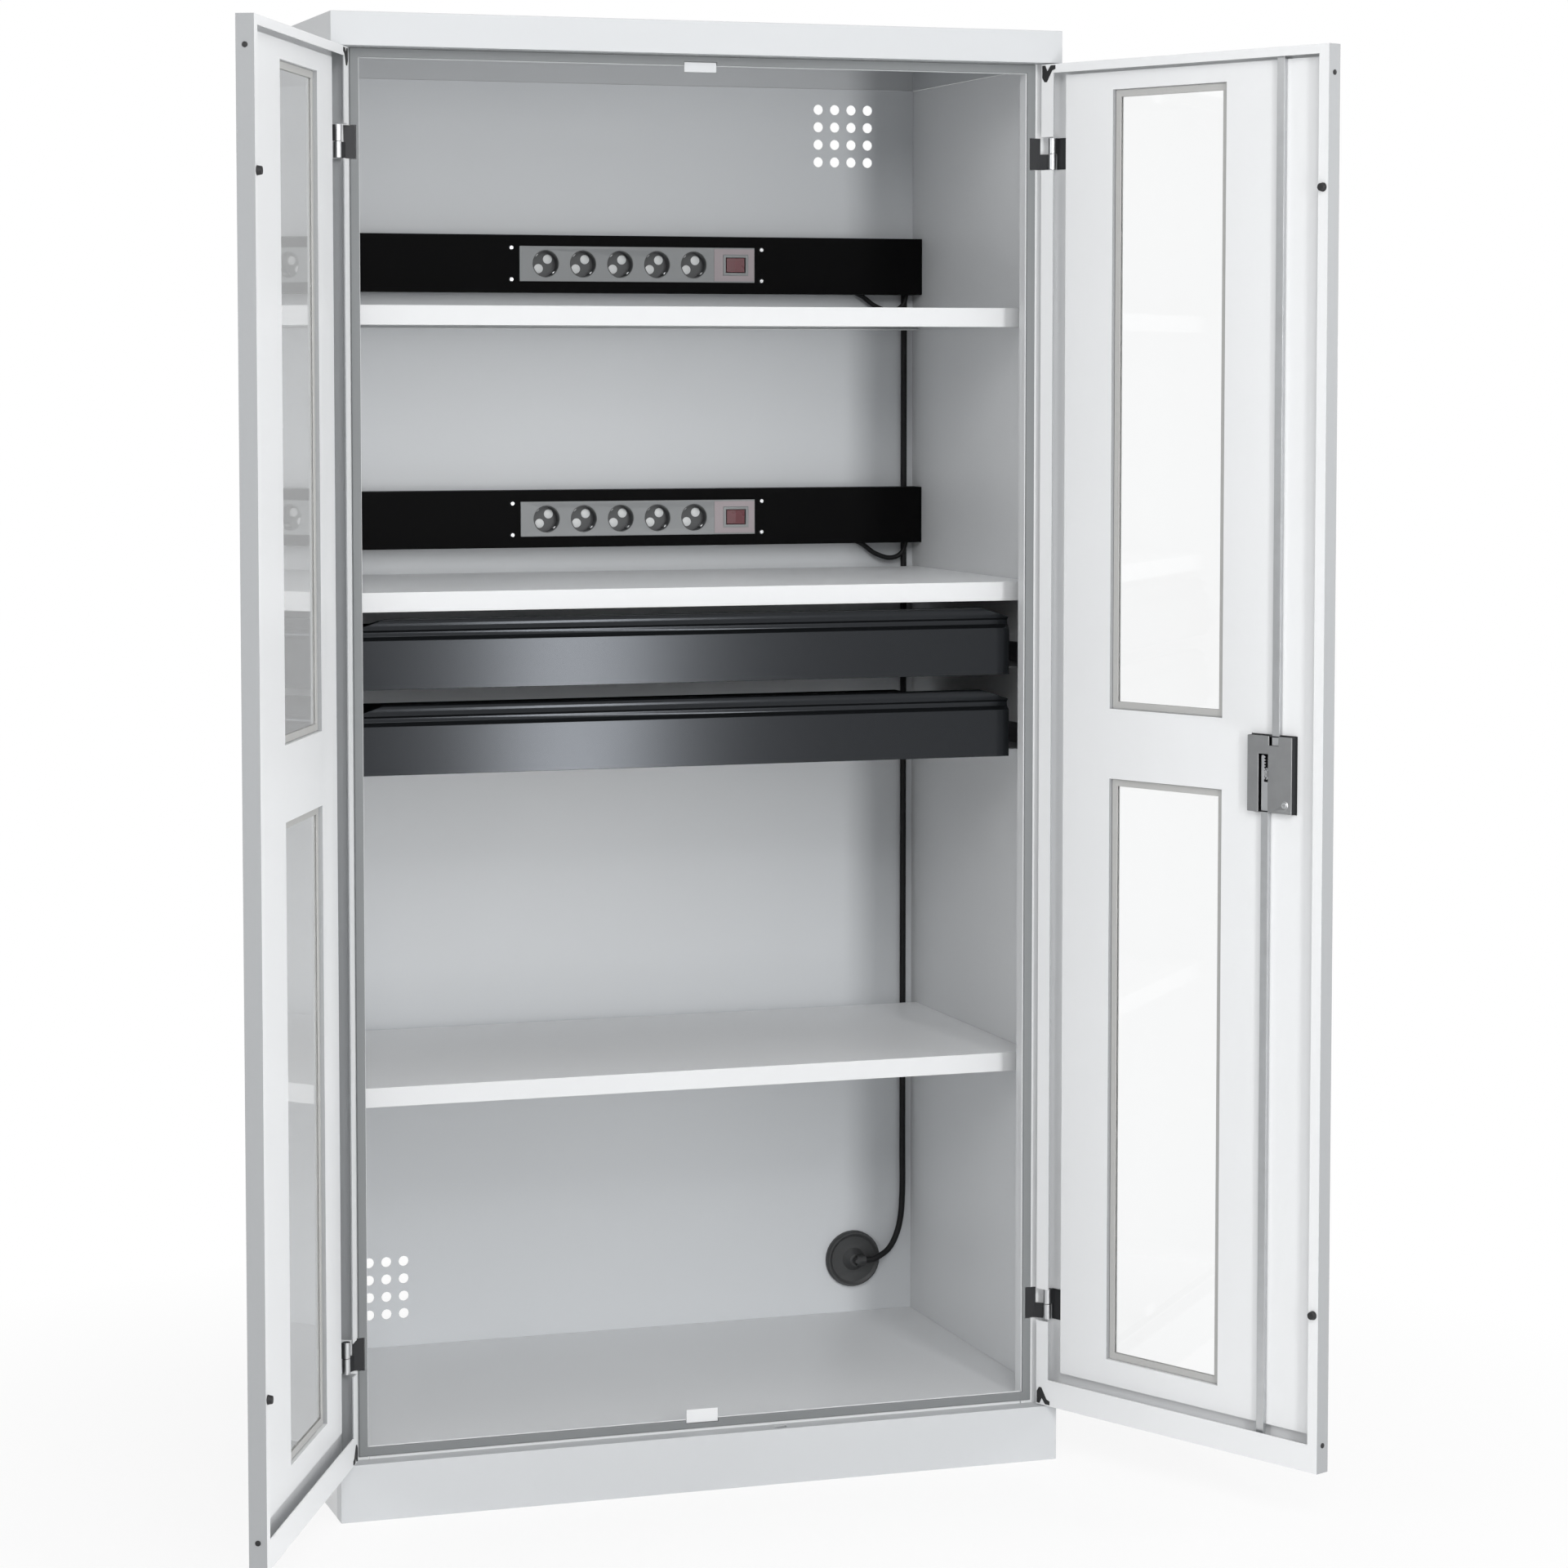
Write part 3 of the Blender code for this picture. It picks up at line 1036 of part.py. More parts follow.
def make_window(side_name, side, level, hinge, parts, finish):
    """A clear pane, and the rubber profile that holds it in the door's sheet."""
    bottom, height = WINDOWS[level]
    low_corner, high_corner = door_box(
        side, (WINDOW_FROM_SIDE, WINDOW_FROM_SIDE + WINDOW_WIDTH), (0, DOOR_SHEET),
        (bottom, bottom + height))
    xs = sorted((low_corner[0], high_corner[0]))
    sheet = (FRONT_Y - AXIS_Y, FRONT_Y + DOOR_SHEET - AXIS_Y)
    middle = (sheet[0] + sheet[1]) / 2
    pane = (middle - PANE_THICKNESS / 2, middle + PANE_THICKNESS / 2)
    outside = pane[0] - SEAT_GAP - GASKET_SKIN
    inside = pane[1] + SEAT_GAP + GASKET_SKIN
    web_end = GASKET_LAP + GASKET_WEB
    profile = [
        (0, sheet[0] - SEAT_GAP), (0, outside), (GASKET_WIDTH, outside),
        (GASKET_WIDTH, pane[0] - SEAT_GAP), (web_end, pane[0] - SEAT_GAP),
        (web_end, pane[1] + SEAT_GAP), (GASKET_WIDTH, pane[1] + SEAT_GAP),
        (GASKET_WIDTH, inside), (0, inside), (0, sheet[1] + SEAT_GAP),
        (GASKET_LAP, sheet[1] + SEAT_GAP), (GASKET_LAP, sheet[0] - SEAT_GAP),
    ]
    tag = level + "_" + side_name
    mesh = ring_mesh("window_seal_" + tag, profile, (xs[0], bottom), (xs[1], bottom + height))
    seal = add_object("window_seal_" + tag, mesh, parts, hinge)
    dress(seal, finish["seal"])
    edge = web_end + SEAT_GAP
    glass = block("window_pane_" + tag, (xs[0] + edge, pane[0], bottom + edge),
                  (xs[1] - edge, pane[1], bottom + height - edge), parts, hinge)
    dress(glass, finish["pane"])


def make_hinge(side_name, side, level, hinge, parts, cutters, finish):
    """One hinge: the frame's leaf with its pin, and the door's leaf that turns on it."""
    z = HINGE_HEIGHTS[level]
    low, high = z - HINGE_HEIGHT / 2, z + HINGE_HEIGHT / 2
    tag = level + "_" + side_name
    up = Vector((0, 0, 1))
    axis = Vector((side * AXIS_X, AXIS_Y, 0))
    plate_y = FRAME_Y - SEAT_GAP
    plate_x = AXIS_X - FRAME_LEAF_REACH
    leaf = block("hinge_frame_leaf_" + tag, (side * plate_x, plate_y - LEAF_SHEET, low),
                 (side * (plate_x + FRAME_LEAF_LENGTH), plate_y, high), parts)
    bend_x = plate_x + FRAME_LEAF_LENGTH - LEAF_SHEET
    arm_path = [(bend_x, plate_y - LEAF_SHEET), (AXIS_X, AXIS_Y + KNUCKLE_RADIUS / 2)]
    arm_outline = [(side * x, y) for x, y in folded_outline(arm_path, LEAF_SHEET)]
    arm_top = z - KNUCKLE_GAP
    arm = outline_solid("hinge arm " + tag, arm_outline, low, arm_top, ALONG_Z, cutters)
    knuckle = drum("lower knuckle " + tag, axis + up * low, up, arm_top - low, KNUCKLE_RADIUS,
                   cutters)
    pin = drum("hinge pin " + tag, axis + up * (low + KNUCKLE_GAP), up,
               HINGE_HEIGHT - KNUCKLE_GAP, PIN_RADIUS, cutters, sides=ROUND_SIDES // 2)
    combine(leaf, "UNION", arm, knuckle, pin)
    dress(leaf, finish["dark steel"])

    plate_depth = DOOR_SHEET + SEAT_GAP
    plate_low, plate_high = door_box(
        side, (AXIS_FROM_SIDE + KNUCKLE_RADIUS / 2, AXIS_FROM_SIDE + DOOR_LEAF_LENGTH),
        (plate_depth, plate_depth + DOOR_SHEET), (low, high))
    door_leaf = block("hinge_door_leaf_" + tag, plate_low, plate_high, parts, hinge)
    barrel_low = z + KNUCKLE_GAP
    barrel = drum("upper knuckle " + tag, up * barrel_low, up, high - barrel_low, KNUCKLE_RADIUS,
                  cutters, hinge)
    neck_low, neck_high = door_box(
        side, (AXIS_FROM_SIDE + KNUCKLE_RADIUS / 2, AXIS_FROM_SIDE + KNUCKLE_RADIUS),
        (plate_depth + DOOR_SHEET / 2, AXIS_FROM_FRONT), (barrel_low, high))
    neck = block("hinge neck " + tag, neck_low, neck_high, cutters, hinge)
    combine(door_leaf, "UNION", barrel, neck)
    bore = drum("hinge bore " + tag, up * (low - CUT_OVERRUN), up, HINGE_HEIGHT + 2 * CUT_OVERRUN,
                PIN_RADIUS + PIN_CLEARANCE, cutters, hinge)
    combine(door_leaf, "DIFFERENCE", bore)
    dress(door_leaf, finish["dark steel"])


def make_buffer(side_name, side, level, hinge, parts, finish):
    """A small rubber buffer on the lip of a door's free edge."""
    z = BUFFER_HEIGHTS[level]
    start = door_point(side, DOOR_FREE - FREE_LIP / 2, DOOR_THICKNESS + SEAT_GAP, z)
    buffer = drum("door_buffer_" + level + "_" + side_name, start, Vector((0, 1, 0)),
                  BUFFER_HEIGHT, BUFFER_RADIUS, parts, hinge, sides=BUFFER_SIDES,
                  tip=BUFFER_RADIUS * BUFFER_TIP_SHARE)
    return dress(shade_round(buffer), finish["plastic"])


def rod_outline(lowest, highest, shoulder):
    """Outline of a toothed rod beside the pinion, as widths from the spindle and heights.

    It is drawn for the rod above the lock, and the other rod is the same turned half round.
    """
    outer = PITCH_RADIUS + ROD_WIDTH / 2
    inner = PITCH_RADIUS - ROD_WIDTH / 2
    root = PITCH_RADIUS + DEDENDUM
    tip = PITCH_RADIUS - ADDENDUM
    half = TOOTH_HALF_THICKNESS_SHARE * TOOTH_PITCH
    half_root = half + DEDENDUM * math.tan(FLANK_ANGLE)
    half_tip = half - ADDENDUM * math.tan(FLANK_ANGLE)
    points = [(outer, lowest), (outer, highest), (inner, highest), (inner, shoulder),
              (root, shoulder)]
    for index in range(RACK_TEETH):
        centre = (2 * (RACK_TEETH_PAST_CENTRE - index) - 1) * TOOTH_PITCH / 2
        points += [(root, centre + half_root), (tip, centre + half_tip),
                   (tip, centre - half_tip), (root, centre - half_root)]
    points.append((root, lowest))
    return points


def rack_lowest():
    """How far a rod reaches past the spindle at rest, so that its last tooth stays in mesh."""
    return -(RACK_TEETH - RACK_TEETH_PAST_CENTRE + RACK_END_SHARE) * TOOTH_PITCH


def rack_shoulder():
    """Where a rod gets its full width again, clear of the pinion's tip circle."""
    return (RACK_TEETH_PAST_CENTRE + RACK_SHOULDER_SHARE) * TOOTH_PITCH


def make_rods(side, hinge, parts, finish):
    """The two rods of the lock, toothed where the pinion drives them."""
    depth_low = FRONT_Y + ROD_DEPTH - ROD_THICKNESS / 2 - AXIS_Y
    depth_high = depth_low + ROD_THICKNESS
    spindle_x = side * (HALF_WIDTH - LOCK_FROM_SIDE - AXIS_X)
    lengths = {
        "rod_upper": (DOOR_TOP_Z - ROD_END_GAP - LOCK_Z, -1),
        "rod_lower": (LOCK_Z - DOOR_BOTTOM_Z - ROD_END_GAP, 1),
    }
    for name, (reach, turned) in lengths.items():
        outline = rod_outline(rack_lowest(), reach, rack_shoulder())
        placed = [(spindle_x + turned * side * across, LOCK_Z - turned * up)
                  for across, up in outline]
        rod = outline_solid(name, placed, depth_low, depth_high, ALONG_Y, parts, hinge)
        dress(rod, finish["zinc"])


def pinion_outline():
    """Outline of the pinion, one tooth after another."""
    root = PITCH_RADIUS - DEDENDUM
    tip = PITCH_RADIUS + ADDENDUM
    step = 2 * math.pi / PINION_TEETH
    half = TOOTH_HALF_THICKNESS_SHARE * step
    half_root = half + DEDENDUM * math.tan(FLANK_ANGLE) / root
    half_tip = half - ADDENDUM * math.tan(FLANK_ANGLE) / tip
    points = []
    for tooth in range(PINION_TEETH):
        centre = tooth * step
        for radius, angle in ((root, centre - half_root), (tip, centre - half_tip),
                              (tip, centre + half_tip), (root, centre + half_root)):
            points.append((radius * math.cos(angle), radius * math.sin(angle)))
    return points


def make_lock(side, hinge, parts, cutters, finish):
    """The lock: its case, its cover, the pinion and the swivel handle on the spindle."""
    left, right = case_span()
    low_z, high_z = LOCK_Z - CASE_HEIGHT / 2, LOCK_Z + CASE_HEIGHT / 2
    back = DOOR_SHEET + SEAT_GAP
    front = back + CASE_DEPTH
    case = block("lock_case", *door_box(side, (left, right), (back, front), (low_z, high_z)),
                 parts, hinge)
    hollow = block("case hollow", *door_box(
        side, (left + CASE_SHEET, right - CASE_SHEET), (back + CASE_SHEET, front + CUT_OVERRUN),
        (low_z + CASE_SHEET, high_z - CASE_SHEET)), cutters, hinge)
    top_slot = rod_window("case top slot", side, UPPER_ROD_FROM_SIDE, ROD_SLOT_CLEARANCE,
                          (high_z - CASE_SHEET - CUT_OVERRUN, high_z + CUT_OVERRUN), hinge,
                          cutters)
    bottom_slot = rod_window("case bottom slot", side, LOWER_ROD_FROM_SIDE, ROD_SLOT_CLEARANCE,
                             (low_z - CUT_OVERRUN, low_z + CASE_SHEET + CUT_OVERRUN), hinge,
                             cutters)
    spindle_hole = drum("case spindle hole",
                        door_point(side, LOCK_FROM_SIDE, back - CUT_OVERRUN, LOCK_Z),
                        Vector((0, 1, 0)), 2 * CUT_OVERRUN, SPINDLE_HOLE_RADIUS, cutters, hinge)
    combine(case, "DIFFERENCE", hollow, top_slot, bottom_slot, spindle_hole)
    dress(case, finish["dark steel"])

    cover_back = front + SEAT_GAP
    cover_front = cover_back + COVER_SHEET
    cover = block("lock_cover", *door_box(side, (left, right), (cover_back, cover_front),
                                          (low_z, high_z)), parts, hinge)
    half = ROD_WIDTH / 2 + COVER_SLOT_CLEARANCE
    channel = block("cover channel", *door_box(
        side, (LOWER_ROD_FROM_SIDE - half, LOWER_ROD_FROM_SIDE + half),
        (cover_back - CUT_OVERRUN, cover_front + CUT_OVERRUN),
        (low_z - CUT_OVERRUN, LOCK_Z - rack_lowest() + COVER_SLOT_CLEARANCE)), cutters, hinge)
    notch = block("cover notch", *door_box(
        side, (UPPER_ROD_FROM_SIDE - half, UPPER_ROD_FROM_SIDE + half),
        (cover_back - CUT_OVERRUN, cover_front + CUT_OVERRUN),
        (high_z - ROD_WIDTH, high_z + CUT_OVERRUN)), cutters, hinge)
    combine(cover, "DIFFERENCE", channel, notch)
    screw_start = door_point(side, right - LOCK_SCREW_INSET, cover_front - COVER_SHEET / 2,
                             low_z + LOCK_SCREW_INSET)
    screw = drum("cover screw", screw_start, Vector((0, 1, 0)),
                 COVER_SHEET / 2 + LOCK_SCREW_HEIGHT, LOCK_SCREW_RADIUS, cutters, hinge)
    combine(cover, "UNION", screw)
    dress(cover, finish["dark steel"])

    spindle = empty_at("spindle", door_point(side, LOCK_FROM_SIDE, 0, LOCK_Z), parts, hinge)
    pinion_middle = ROD_DEPTH
    pinion = outline_solid("lock_pinion", pinion_outline(),
                           pinion_middle - PINION_THICKNESS / 2,
                           pinion_middle + PINION_THICKNESS / 2, ALONG_Y, parts, spindle)
    hole_half = SPINDLE_SIDE / 2 + SEAT_GAP
    square = block("pinion square", (-hole_half, 0, -hole_half),
                   (hole_half, 2 * DOOR_THICKNESS, hole_half), cutters, spindle)
    combine(pinion, "DIFFERENCE", square)
    dress(pinion, finish["zinc"])
    make_handle(side, front, spindle, parts, cutters, finish)


def make_handle(side, case_front, spindle, parts, cutters, finish):
    """The swivel handle outside the door: a round boss, a square spindle and a tapered grip."""
    outward = Vector((0, -1, 0))
    boss = drum("door_handle", outward * SEAT_GAP, outward, HANDLE_STANDOFF + HANDLE_THICKNESS / 2,
                HANDLE_BOSS_RADIUS, parts, spindle, tip=HANDLE_BOSS_RADIUS * HANDLE_BOSS_TIP_SHARE)
    half = SPINDLE_SIDE / 2
    shaft = block("handle shaft", (-half, -HANDLE_STANDOFF / 2, -half),
                  (half, case_front - COVER_SHEET, half), cutters, spindle)
    root, tip = HANDLE_WIDTH / 2, HANDLE_TIP_WIDTH / 2
    outline = arc((0, 0), root, math.pi / 2, 3 * math.pi / 2, ARC_STEPS)
    outline += arc((HANDLE_LENGTH - tip, 0), tip, -math.pi / 2, math.pi / 2, ARC_STEPS)
    outline = [(side * x, z) for x, z in outline]
    grip_back = -HANDLE_STANDOFF
    grip = outline_solid("handle grip", outline, grip_back - HANDLE_THICKNESS, grip_back,
                         ALONG_Y, cutters, spindle)
    combine(boss, "UNION", shaft, grip)
    return dress(boss, finish["plastic"])


def make_door(side_name, side, parts, cutters, finish):
    """A door with all that it carries, held open on its hinge axis."""
    hinge = empty_at("door axis " + side_name, (side * AXIS_X, AXIS_Y, 0), parts)
    make_door_pan(side_name, side, hinge, parts, cutters, finish)
    for level in WINDOWS:
        make_window(side_name, side, level, hinge, parts, finish)
    for level in HINGE_HEIGHTS:
        make_hinge(side_name, side, level, hinge, parts, cutters, finish)
        make_buffer(side_name, side, level, hinge, parts, finish)
    if side > 0:
        make_rods(side, hinge, parts, finish)
        make_lock(side, hinge, parts, cutters, finish)
    hinge.rotation_euler = (0, 0, side * DOOR_OPEN_ANGLE)


def runner_middle_z(drawer_z):
    """Height of the middle of a drawer's runners."""
    return drawer_z + TRAY_BOTTOM_GAP + TRAY_HEIGHT / 2


def make_runners(tag, drawer_z, parts, finish):
    """The cabinet member and the middle member of the runner on each side of a drawer."""
    middle_z = runner_middle_z(drawer_z)
    low, high = middle_z - RUNNER_HEIGHT / 2, middle_z + RUNNER_HEIGHT / 2
    wall = INNER_HALF - SEAT_GAP
    web = RUNNER_OUTER_X
    sheet = RUNNER_SHEET
    tip = web - RUNNER_FLANGE_DEPTH
    bracket = [
        (wall, low + RUNNER_WALL_FLANGE), (wall, low), (tip, low), (tip, low + sheet),
        (web - sheet, low + sheet), (web - sheet, high - sheet), (tip, high - sheet),
        (tip, high), (web, high), (web, low + sheet), (wall - sheet, low + sheet),
        (wall - sheet, low + RUNNER_WALL_FLANGE),
    ]
    inset = sheet + RUNNER_GAP
    middle_web = web - inset
    middle_path = [
        (middle_web - RUNNER_MIDDLE_DEPTH, low + inset), (middle_web, low + inset),
        (middle_web, high - inset), (middle_web - RUNNER_MIDDLE_DEPTH, high - inset),
    ]
    middle = folded_outline(middle_path, sheet)
    start = TRAY_FRONT_Y + DRAWER_FRONT_SHEET
    for side_name, side in SIDES.items():
        name = tag + "_" + side_name
        fixed = outline_solid("runner_cabinet_" + name, [(side * x, z) for x, z in bracket],
                              start, start + RUNNER_LENGTH, ALONG_Y, parts)
        dress(fixed, finish["zinc"])
        moving = outline_solid("runner_middle_" + name, [(side * x, z) for x, z in middle],
                               start, start + RUNNER_LENGTH, ALONG_Y, parts)
        dress(moving, finish["zinc"])


def make_tray(tag, drawer_z, parts, cutters, finish):
    """A drawer's tray, with the inner member of its runners on both sides."""
    half = TRAY_HALF
    low = drawer_z + TRAY_BOTTOM_GAP
    high = low + TRAY_HEIGHT
    back = TRAY_FRONT_Y + TRAY_LENGTH
    name = "drawer_tray_" + tag
    tray = block(name, (-half, TRAY_FRONT_Y, low), (half, back, high), parts)
    hollow = block(name + " hollow",
                   (-half + TRAY_SHEET, TRAY_FRONT_Y + TRAY_SHEET, low + TRAY_SHEET),
                   (half - TRAY_SHEET, back - TRAY_SHEET, high + CUT_OVERRUN), cutters)
    combine(tray, "DIFFERENCE", hollow)
    inset = 2 * (RUNNER_SHEET + RUNNER_GAP)
    reach = RUNNER_OUTER_X - inset - RUNNER_GAP
    middle_z = runner_middle_z(drawer_z)
    start = TRAY_FRONT_Y + DRAWER_FRONT_SHEET
    flanges = []
    for side_name, side in SIDES.items():
        for end in (-1, 1):
            outer_z = middle_z + end * (RUNNER_HEIGHT / 2 - inset)
            flanges.append(block(name + " runner flange",
                                 (side * (half - TRAY_SHEET / 2), start, outer_z),
                                 (side * reach, start + RUNNER_LENGTH,
                                  outer_z - end * RUNNER_SHEET), cutters))
    combine(tray, "UNION", *flanges)
    return dress(tray, finish["anthracite"])


def make_drawer_front(tag, drawer_z, parts, cutters, finish):
    """A drawer's front: a flat face, a groove and a rolled grip that drops at both ends."""
    y, z = DRAWER_FRONT_Y, drawer_z
    groove_top = DRAWER_FACE + DRAWER_GROOVE_RISE
    roll_centre = (y + DRAWER_GROOVE_DEPTH + DRAWER_ROLL_RADIUS / 2,
                   z + groove_top + DRAWER_ROLL_RADIUS)
    path = [
        (y + DRAWER_BOTTOM_RETURN, z), (y, z), (y, z + DRAWER_FACE),
        (y + DRAWER_GROOVE_DEPTH, z + DRAWER_FACE + DRAWER_GROOVE_RISE / 2),
    ]
    path += arc(roll_centre, DRAWER_ROLL_RADIUS, ROLL_START_ANGLE, ROLL_END_ANGLE, ARC_STEPS)
    outline = folded_outline(path, -DRAWER_FRONT_SHEET)
    half = DRAWER_FRONT_HALF
    name = "drawer_front_" + tag
    front = outline_solid(name, outline, -half, half, ALONG_X, parts)
    top = z + groove_top + 2 * DRAWER_ROLL_RADIUS
    wedges = []
    for side_name, side in SIDES.items():
        wedge = [
            (side * (half - DRAWER_END_SLOPE), top), (side * half, top - DRAWER_END_DROP),
            (side * (half + CUT_OVERRUN), top - DRAWER_END_DROP),
            (side * (half + CUT_OVERRUN), top + CUT_OVERRUN),
            (side * (half - DRAWER_END_SLOPE), top + CUT_OVERRUN),
        ]
        wedges.append(outline_solid(name + " wedge " + side_name, wedge, y - CUT_OVERRUN,
                                    y + 4 * DRAWER_ROLL_RADIUS, ALONG_Y, cutters))
    combine(front, "DIFFERENCE", *wedges)
    return dress(front, finish["anthracite"])


def build_cabinet():
    """Build the whole cabinet."""
    clear_scene()
    parts = make_collection("battery charging cabinet")
    cutters = make_collection("cutters")
    finish = make_finishes()
    for side_name, side in SIDES.items():
        make_side_panel(side_name, side, parts, finish)
    make_back_panel(parts, cutters, finish)
    make_top_panel(parts, cutters, finish)
    make_floor_panel(parts, cutters, finish)
    make_plinth(parts, cutters, finish)
    make_front_seal(parts, cutters, finish)
    for level, top_z in (("upper", UPPER_SHELF_Z), ("middle", MIDDLE_SHELF_Z),
                         ("lower", LOWER_SHELF_Z)):
        make_shelf("shelf_" + level, top_z, parts, cutters, finish)
    for level, rail_z in (("upper", UPPER_RAIL_Z), ("lower", LOWER_RAIL_Z)):
        make_power_rail("power_rail_" + level, rail_z, parts, cutters, finish)
        make_socket_strip("socket_strip_" + level, rail_z, parts, cutters, finish)
        make_rocker("rocker_switch_" + level, rail_z, parts, finish)
        make_cable("strip_lead_" + level, lead_points(rail_z), LEAD_DIAMETER, LEAD_ROUTE_STEP,
                   parts, finish)
    make_cable("trunk_cable", trunk_points(), TRUNK_DIAMETER, TRUNK_DIAMETER * 3, parts, finish)
    make_inlet(parts, cutters, finish)
    for index in range(DRAWER_COUNT):
        tag = ("upper", "lower")[index]
        drawer_z = FIRST_DRAWER_Z - index * DRAWER_PITCH
        make_runners(tag, drawer_z, parts, finish)
        make_tray(tag, drawer_z, parts, cutters, finish)
        make_drawer_front(tag, drawer_z, parts, cutters, finish)
    for side_name, side in SIDES.items():
        make_door(side_name, side, parts, cutters, finish)


build_cabinet()
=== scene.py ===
"""Looks of a steel battery charging cabinet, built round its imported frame.

The frame holds every panel, door, drawer, socket strip and cable at its real place and size. This
script finishes those pieces and adds what is too fine for them. Units are metres and +Z is up. +X
is to the right of someone who faces the open cabinet, and +Y runs from its front to its back.
"""
import json
import logging
import math
from collections.abc import Iterable, Sequence
from dataclasses import dataclass, field
from enum import Enum

import bmesh
import bpy
from mathutils import Matrix, Vector


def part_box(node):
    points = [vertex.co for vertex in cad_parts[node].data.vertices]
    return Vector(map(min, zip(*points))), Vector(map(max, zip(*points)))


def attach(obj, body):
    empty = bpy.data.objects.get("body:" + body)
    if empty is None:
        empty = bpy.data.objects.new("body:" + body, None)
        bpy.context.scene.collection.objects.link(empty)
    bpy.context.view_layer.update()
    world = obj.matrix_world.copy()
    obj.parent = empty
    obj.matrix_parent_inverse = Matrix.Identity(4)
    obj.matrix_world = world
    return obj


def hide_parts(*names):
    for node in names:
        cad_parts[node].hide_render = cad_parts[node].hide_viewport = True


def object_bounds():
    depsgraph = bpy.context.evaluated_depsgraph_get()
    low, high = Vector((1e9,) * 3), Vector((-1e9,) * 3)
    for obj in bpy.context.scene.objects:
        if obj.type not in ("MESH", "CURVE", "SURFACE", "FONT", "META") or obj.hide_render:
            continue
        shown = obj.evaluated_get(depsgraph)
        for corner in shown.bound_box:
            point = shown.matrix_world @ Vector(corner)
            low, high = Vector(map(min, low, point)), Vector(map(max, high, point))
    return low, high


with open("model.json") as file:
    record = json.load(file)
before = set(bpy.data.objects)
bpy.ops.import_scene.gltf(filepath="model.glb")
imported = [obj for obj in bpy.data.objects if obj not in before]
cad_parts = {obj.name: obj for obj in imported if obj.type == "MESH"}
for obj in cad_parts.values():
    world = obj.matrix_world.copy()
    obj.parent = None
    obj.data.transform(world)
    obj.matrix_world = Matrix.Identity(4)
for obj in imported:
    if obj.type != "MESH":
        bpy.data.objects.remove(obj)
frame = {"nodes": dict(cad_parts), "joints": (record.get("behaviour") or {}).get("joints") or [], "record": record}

FRAME_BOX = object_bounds()
JOINTS = {joint["name"]: joint for joint in frame["joints"]}
BODY_OF_NODE = {node: body for body, nodes in frame["record"]["behaviour"]["bodies"].items()
                for node in nodes}
LOG = logging.getLogger("charging cabinet")

Pair = tuple[float, float]
Triple = tuple[float, float, float]

# The cabinet's front and sides
TOP_LOW, TOP_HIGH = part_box("top_panel")
HALF_WIDTH = TOP_HIGH.x
FRONT_Y = TOP_LOW.y

# How meshes are cleaned, rounded and shaded
WELD = 0.00001
FLAT = math.radians(1)
CREASE = math.radians(32)
BEVEL_STEPS = 2

# Directions, the doors' ones as they stand open, and the least cosine that counts as facing one. The doors'
# free-edge and outer-face directions and UP pick the faces that get painted light or painted shade
UP = (0.0, 0.0, 1.0)
FORWARD = (0.0, -1.0, 0.0)
SHADED_FREE_EDGE = (0.418, -0.909, 0.0)
OUTER_FACE = (0.909, 0.418, 0.0)
PAINTED_LIGHT_FACING_COSINE = 0.85

# The body's grey, which the doors' outer faces have too. It is the darkest copy of the body paint; the other
# copies below are lighter or darker as painted light and painted shade
BODY_GREY = (0.58, 0.595, 0.61)


class Side(Enum):
    """The two sides of the cabinet, as the sign of their X."""

    LEFT = -1
    RIGHT = 1

    @property
    def tag(self) -> str:
        """The side's name in the frame's nodes."""
        return self.name.lower()


class Level(Enum):
    """The upper and the lower one of a pair."""

    UPPER = "upper"
    LOWER = "lower"


@dataclass(frozen=True)
class Signal:
    """A number that a board's socket gives, and whose operators add Math nodes."""

    board: "Board"
    socket: bpy.types.NodeSocket

    def __add__(self, other: "Signal | float") -> "Signal":
        """Sum of two values."""
        return self.board.math("ADD", self, other)

    def __radd__(self, other: float) -> "Signal":
        """Sum of a number and this value."""
        return self.board.math("ADD", other, self)

    def __sub__(self, other: "Signal | float") -> "Signal":
        """Difference of two values."""
        return self.board.math("SUBTRACT", self, other)

    def __mul__(self, other: "Signal | float") -> "Signal":
        """Product of two values."""
        return self.board.math("MULTIPLY", self, other)

    def __rmul__(self, other: float) -> "Signal":
        """Product of a number and this value."""
        return self.board.math("MULTIPLY", other, self)

    def swing(self, width: float) -> "Signal":
        """Noise from 0 to 1 as a swing about 0 that is this wide."""
        return width * (self - 0.5)


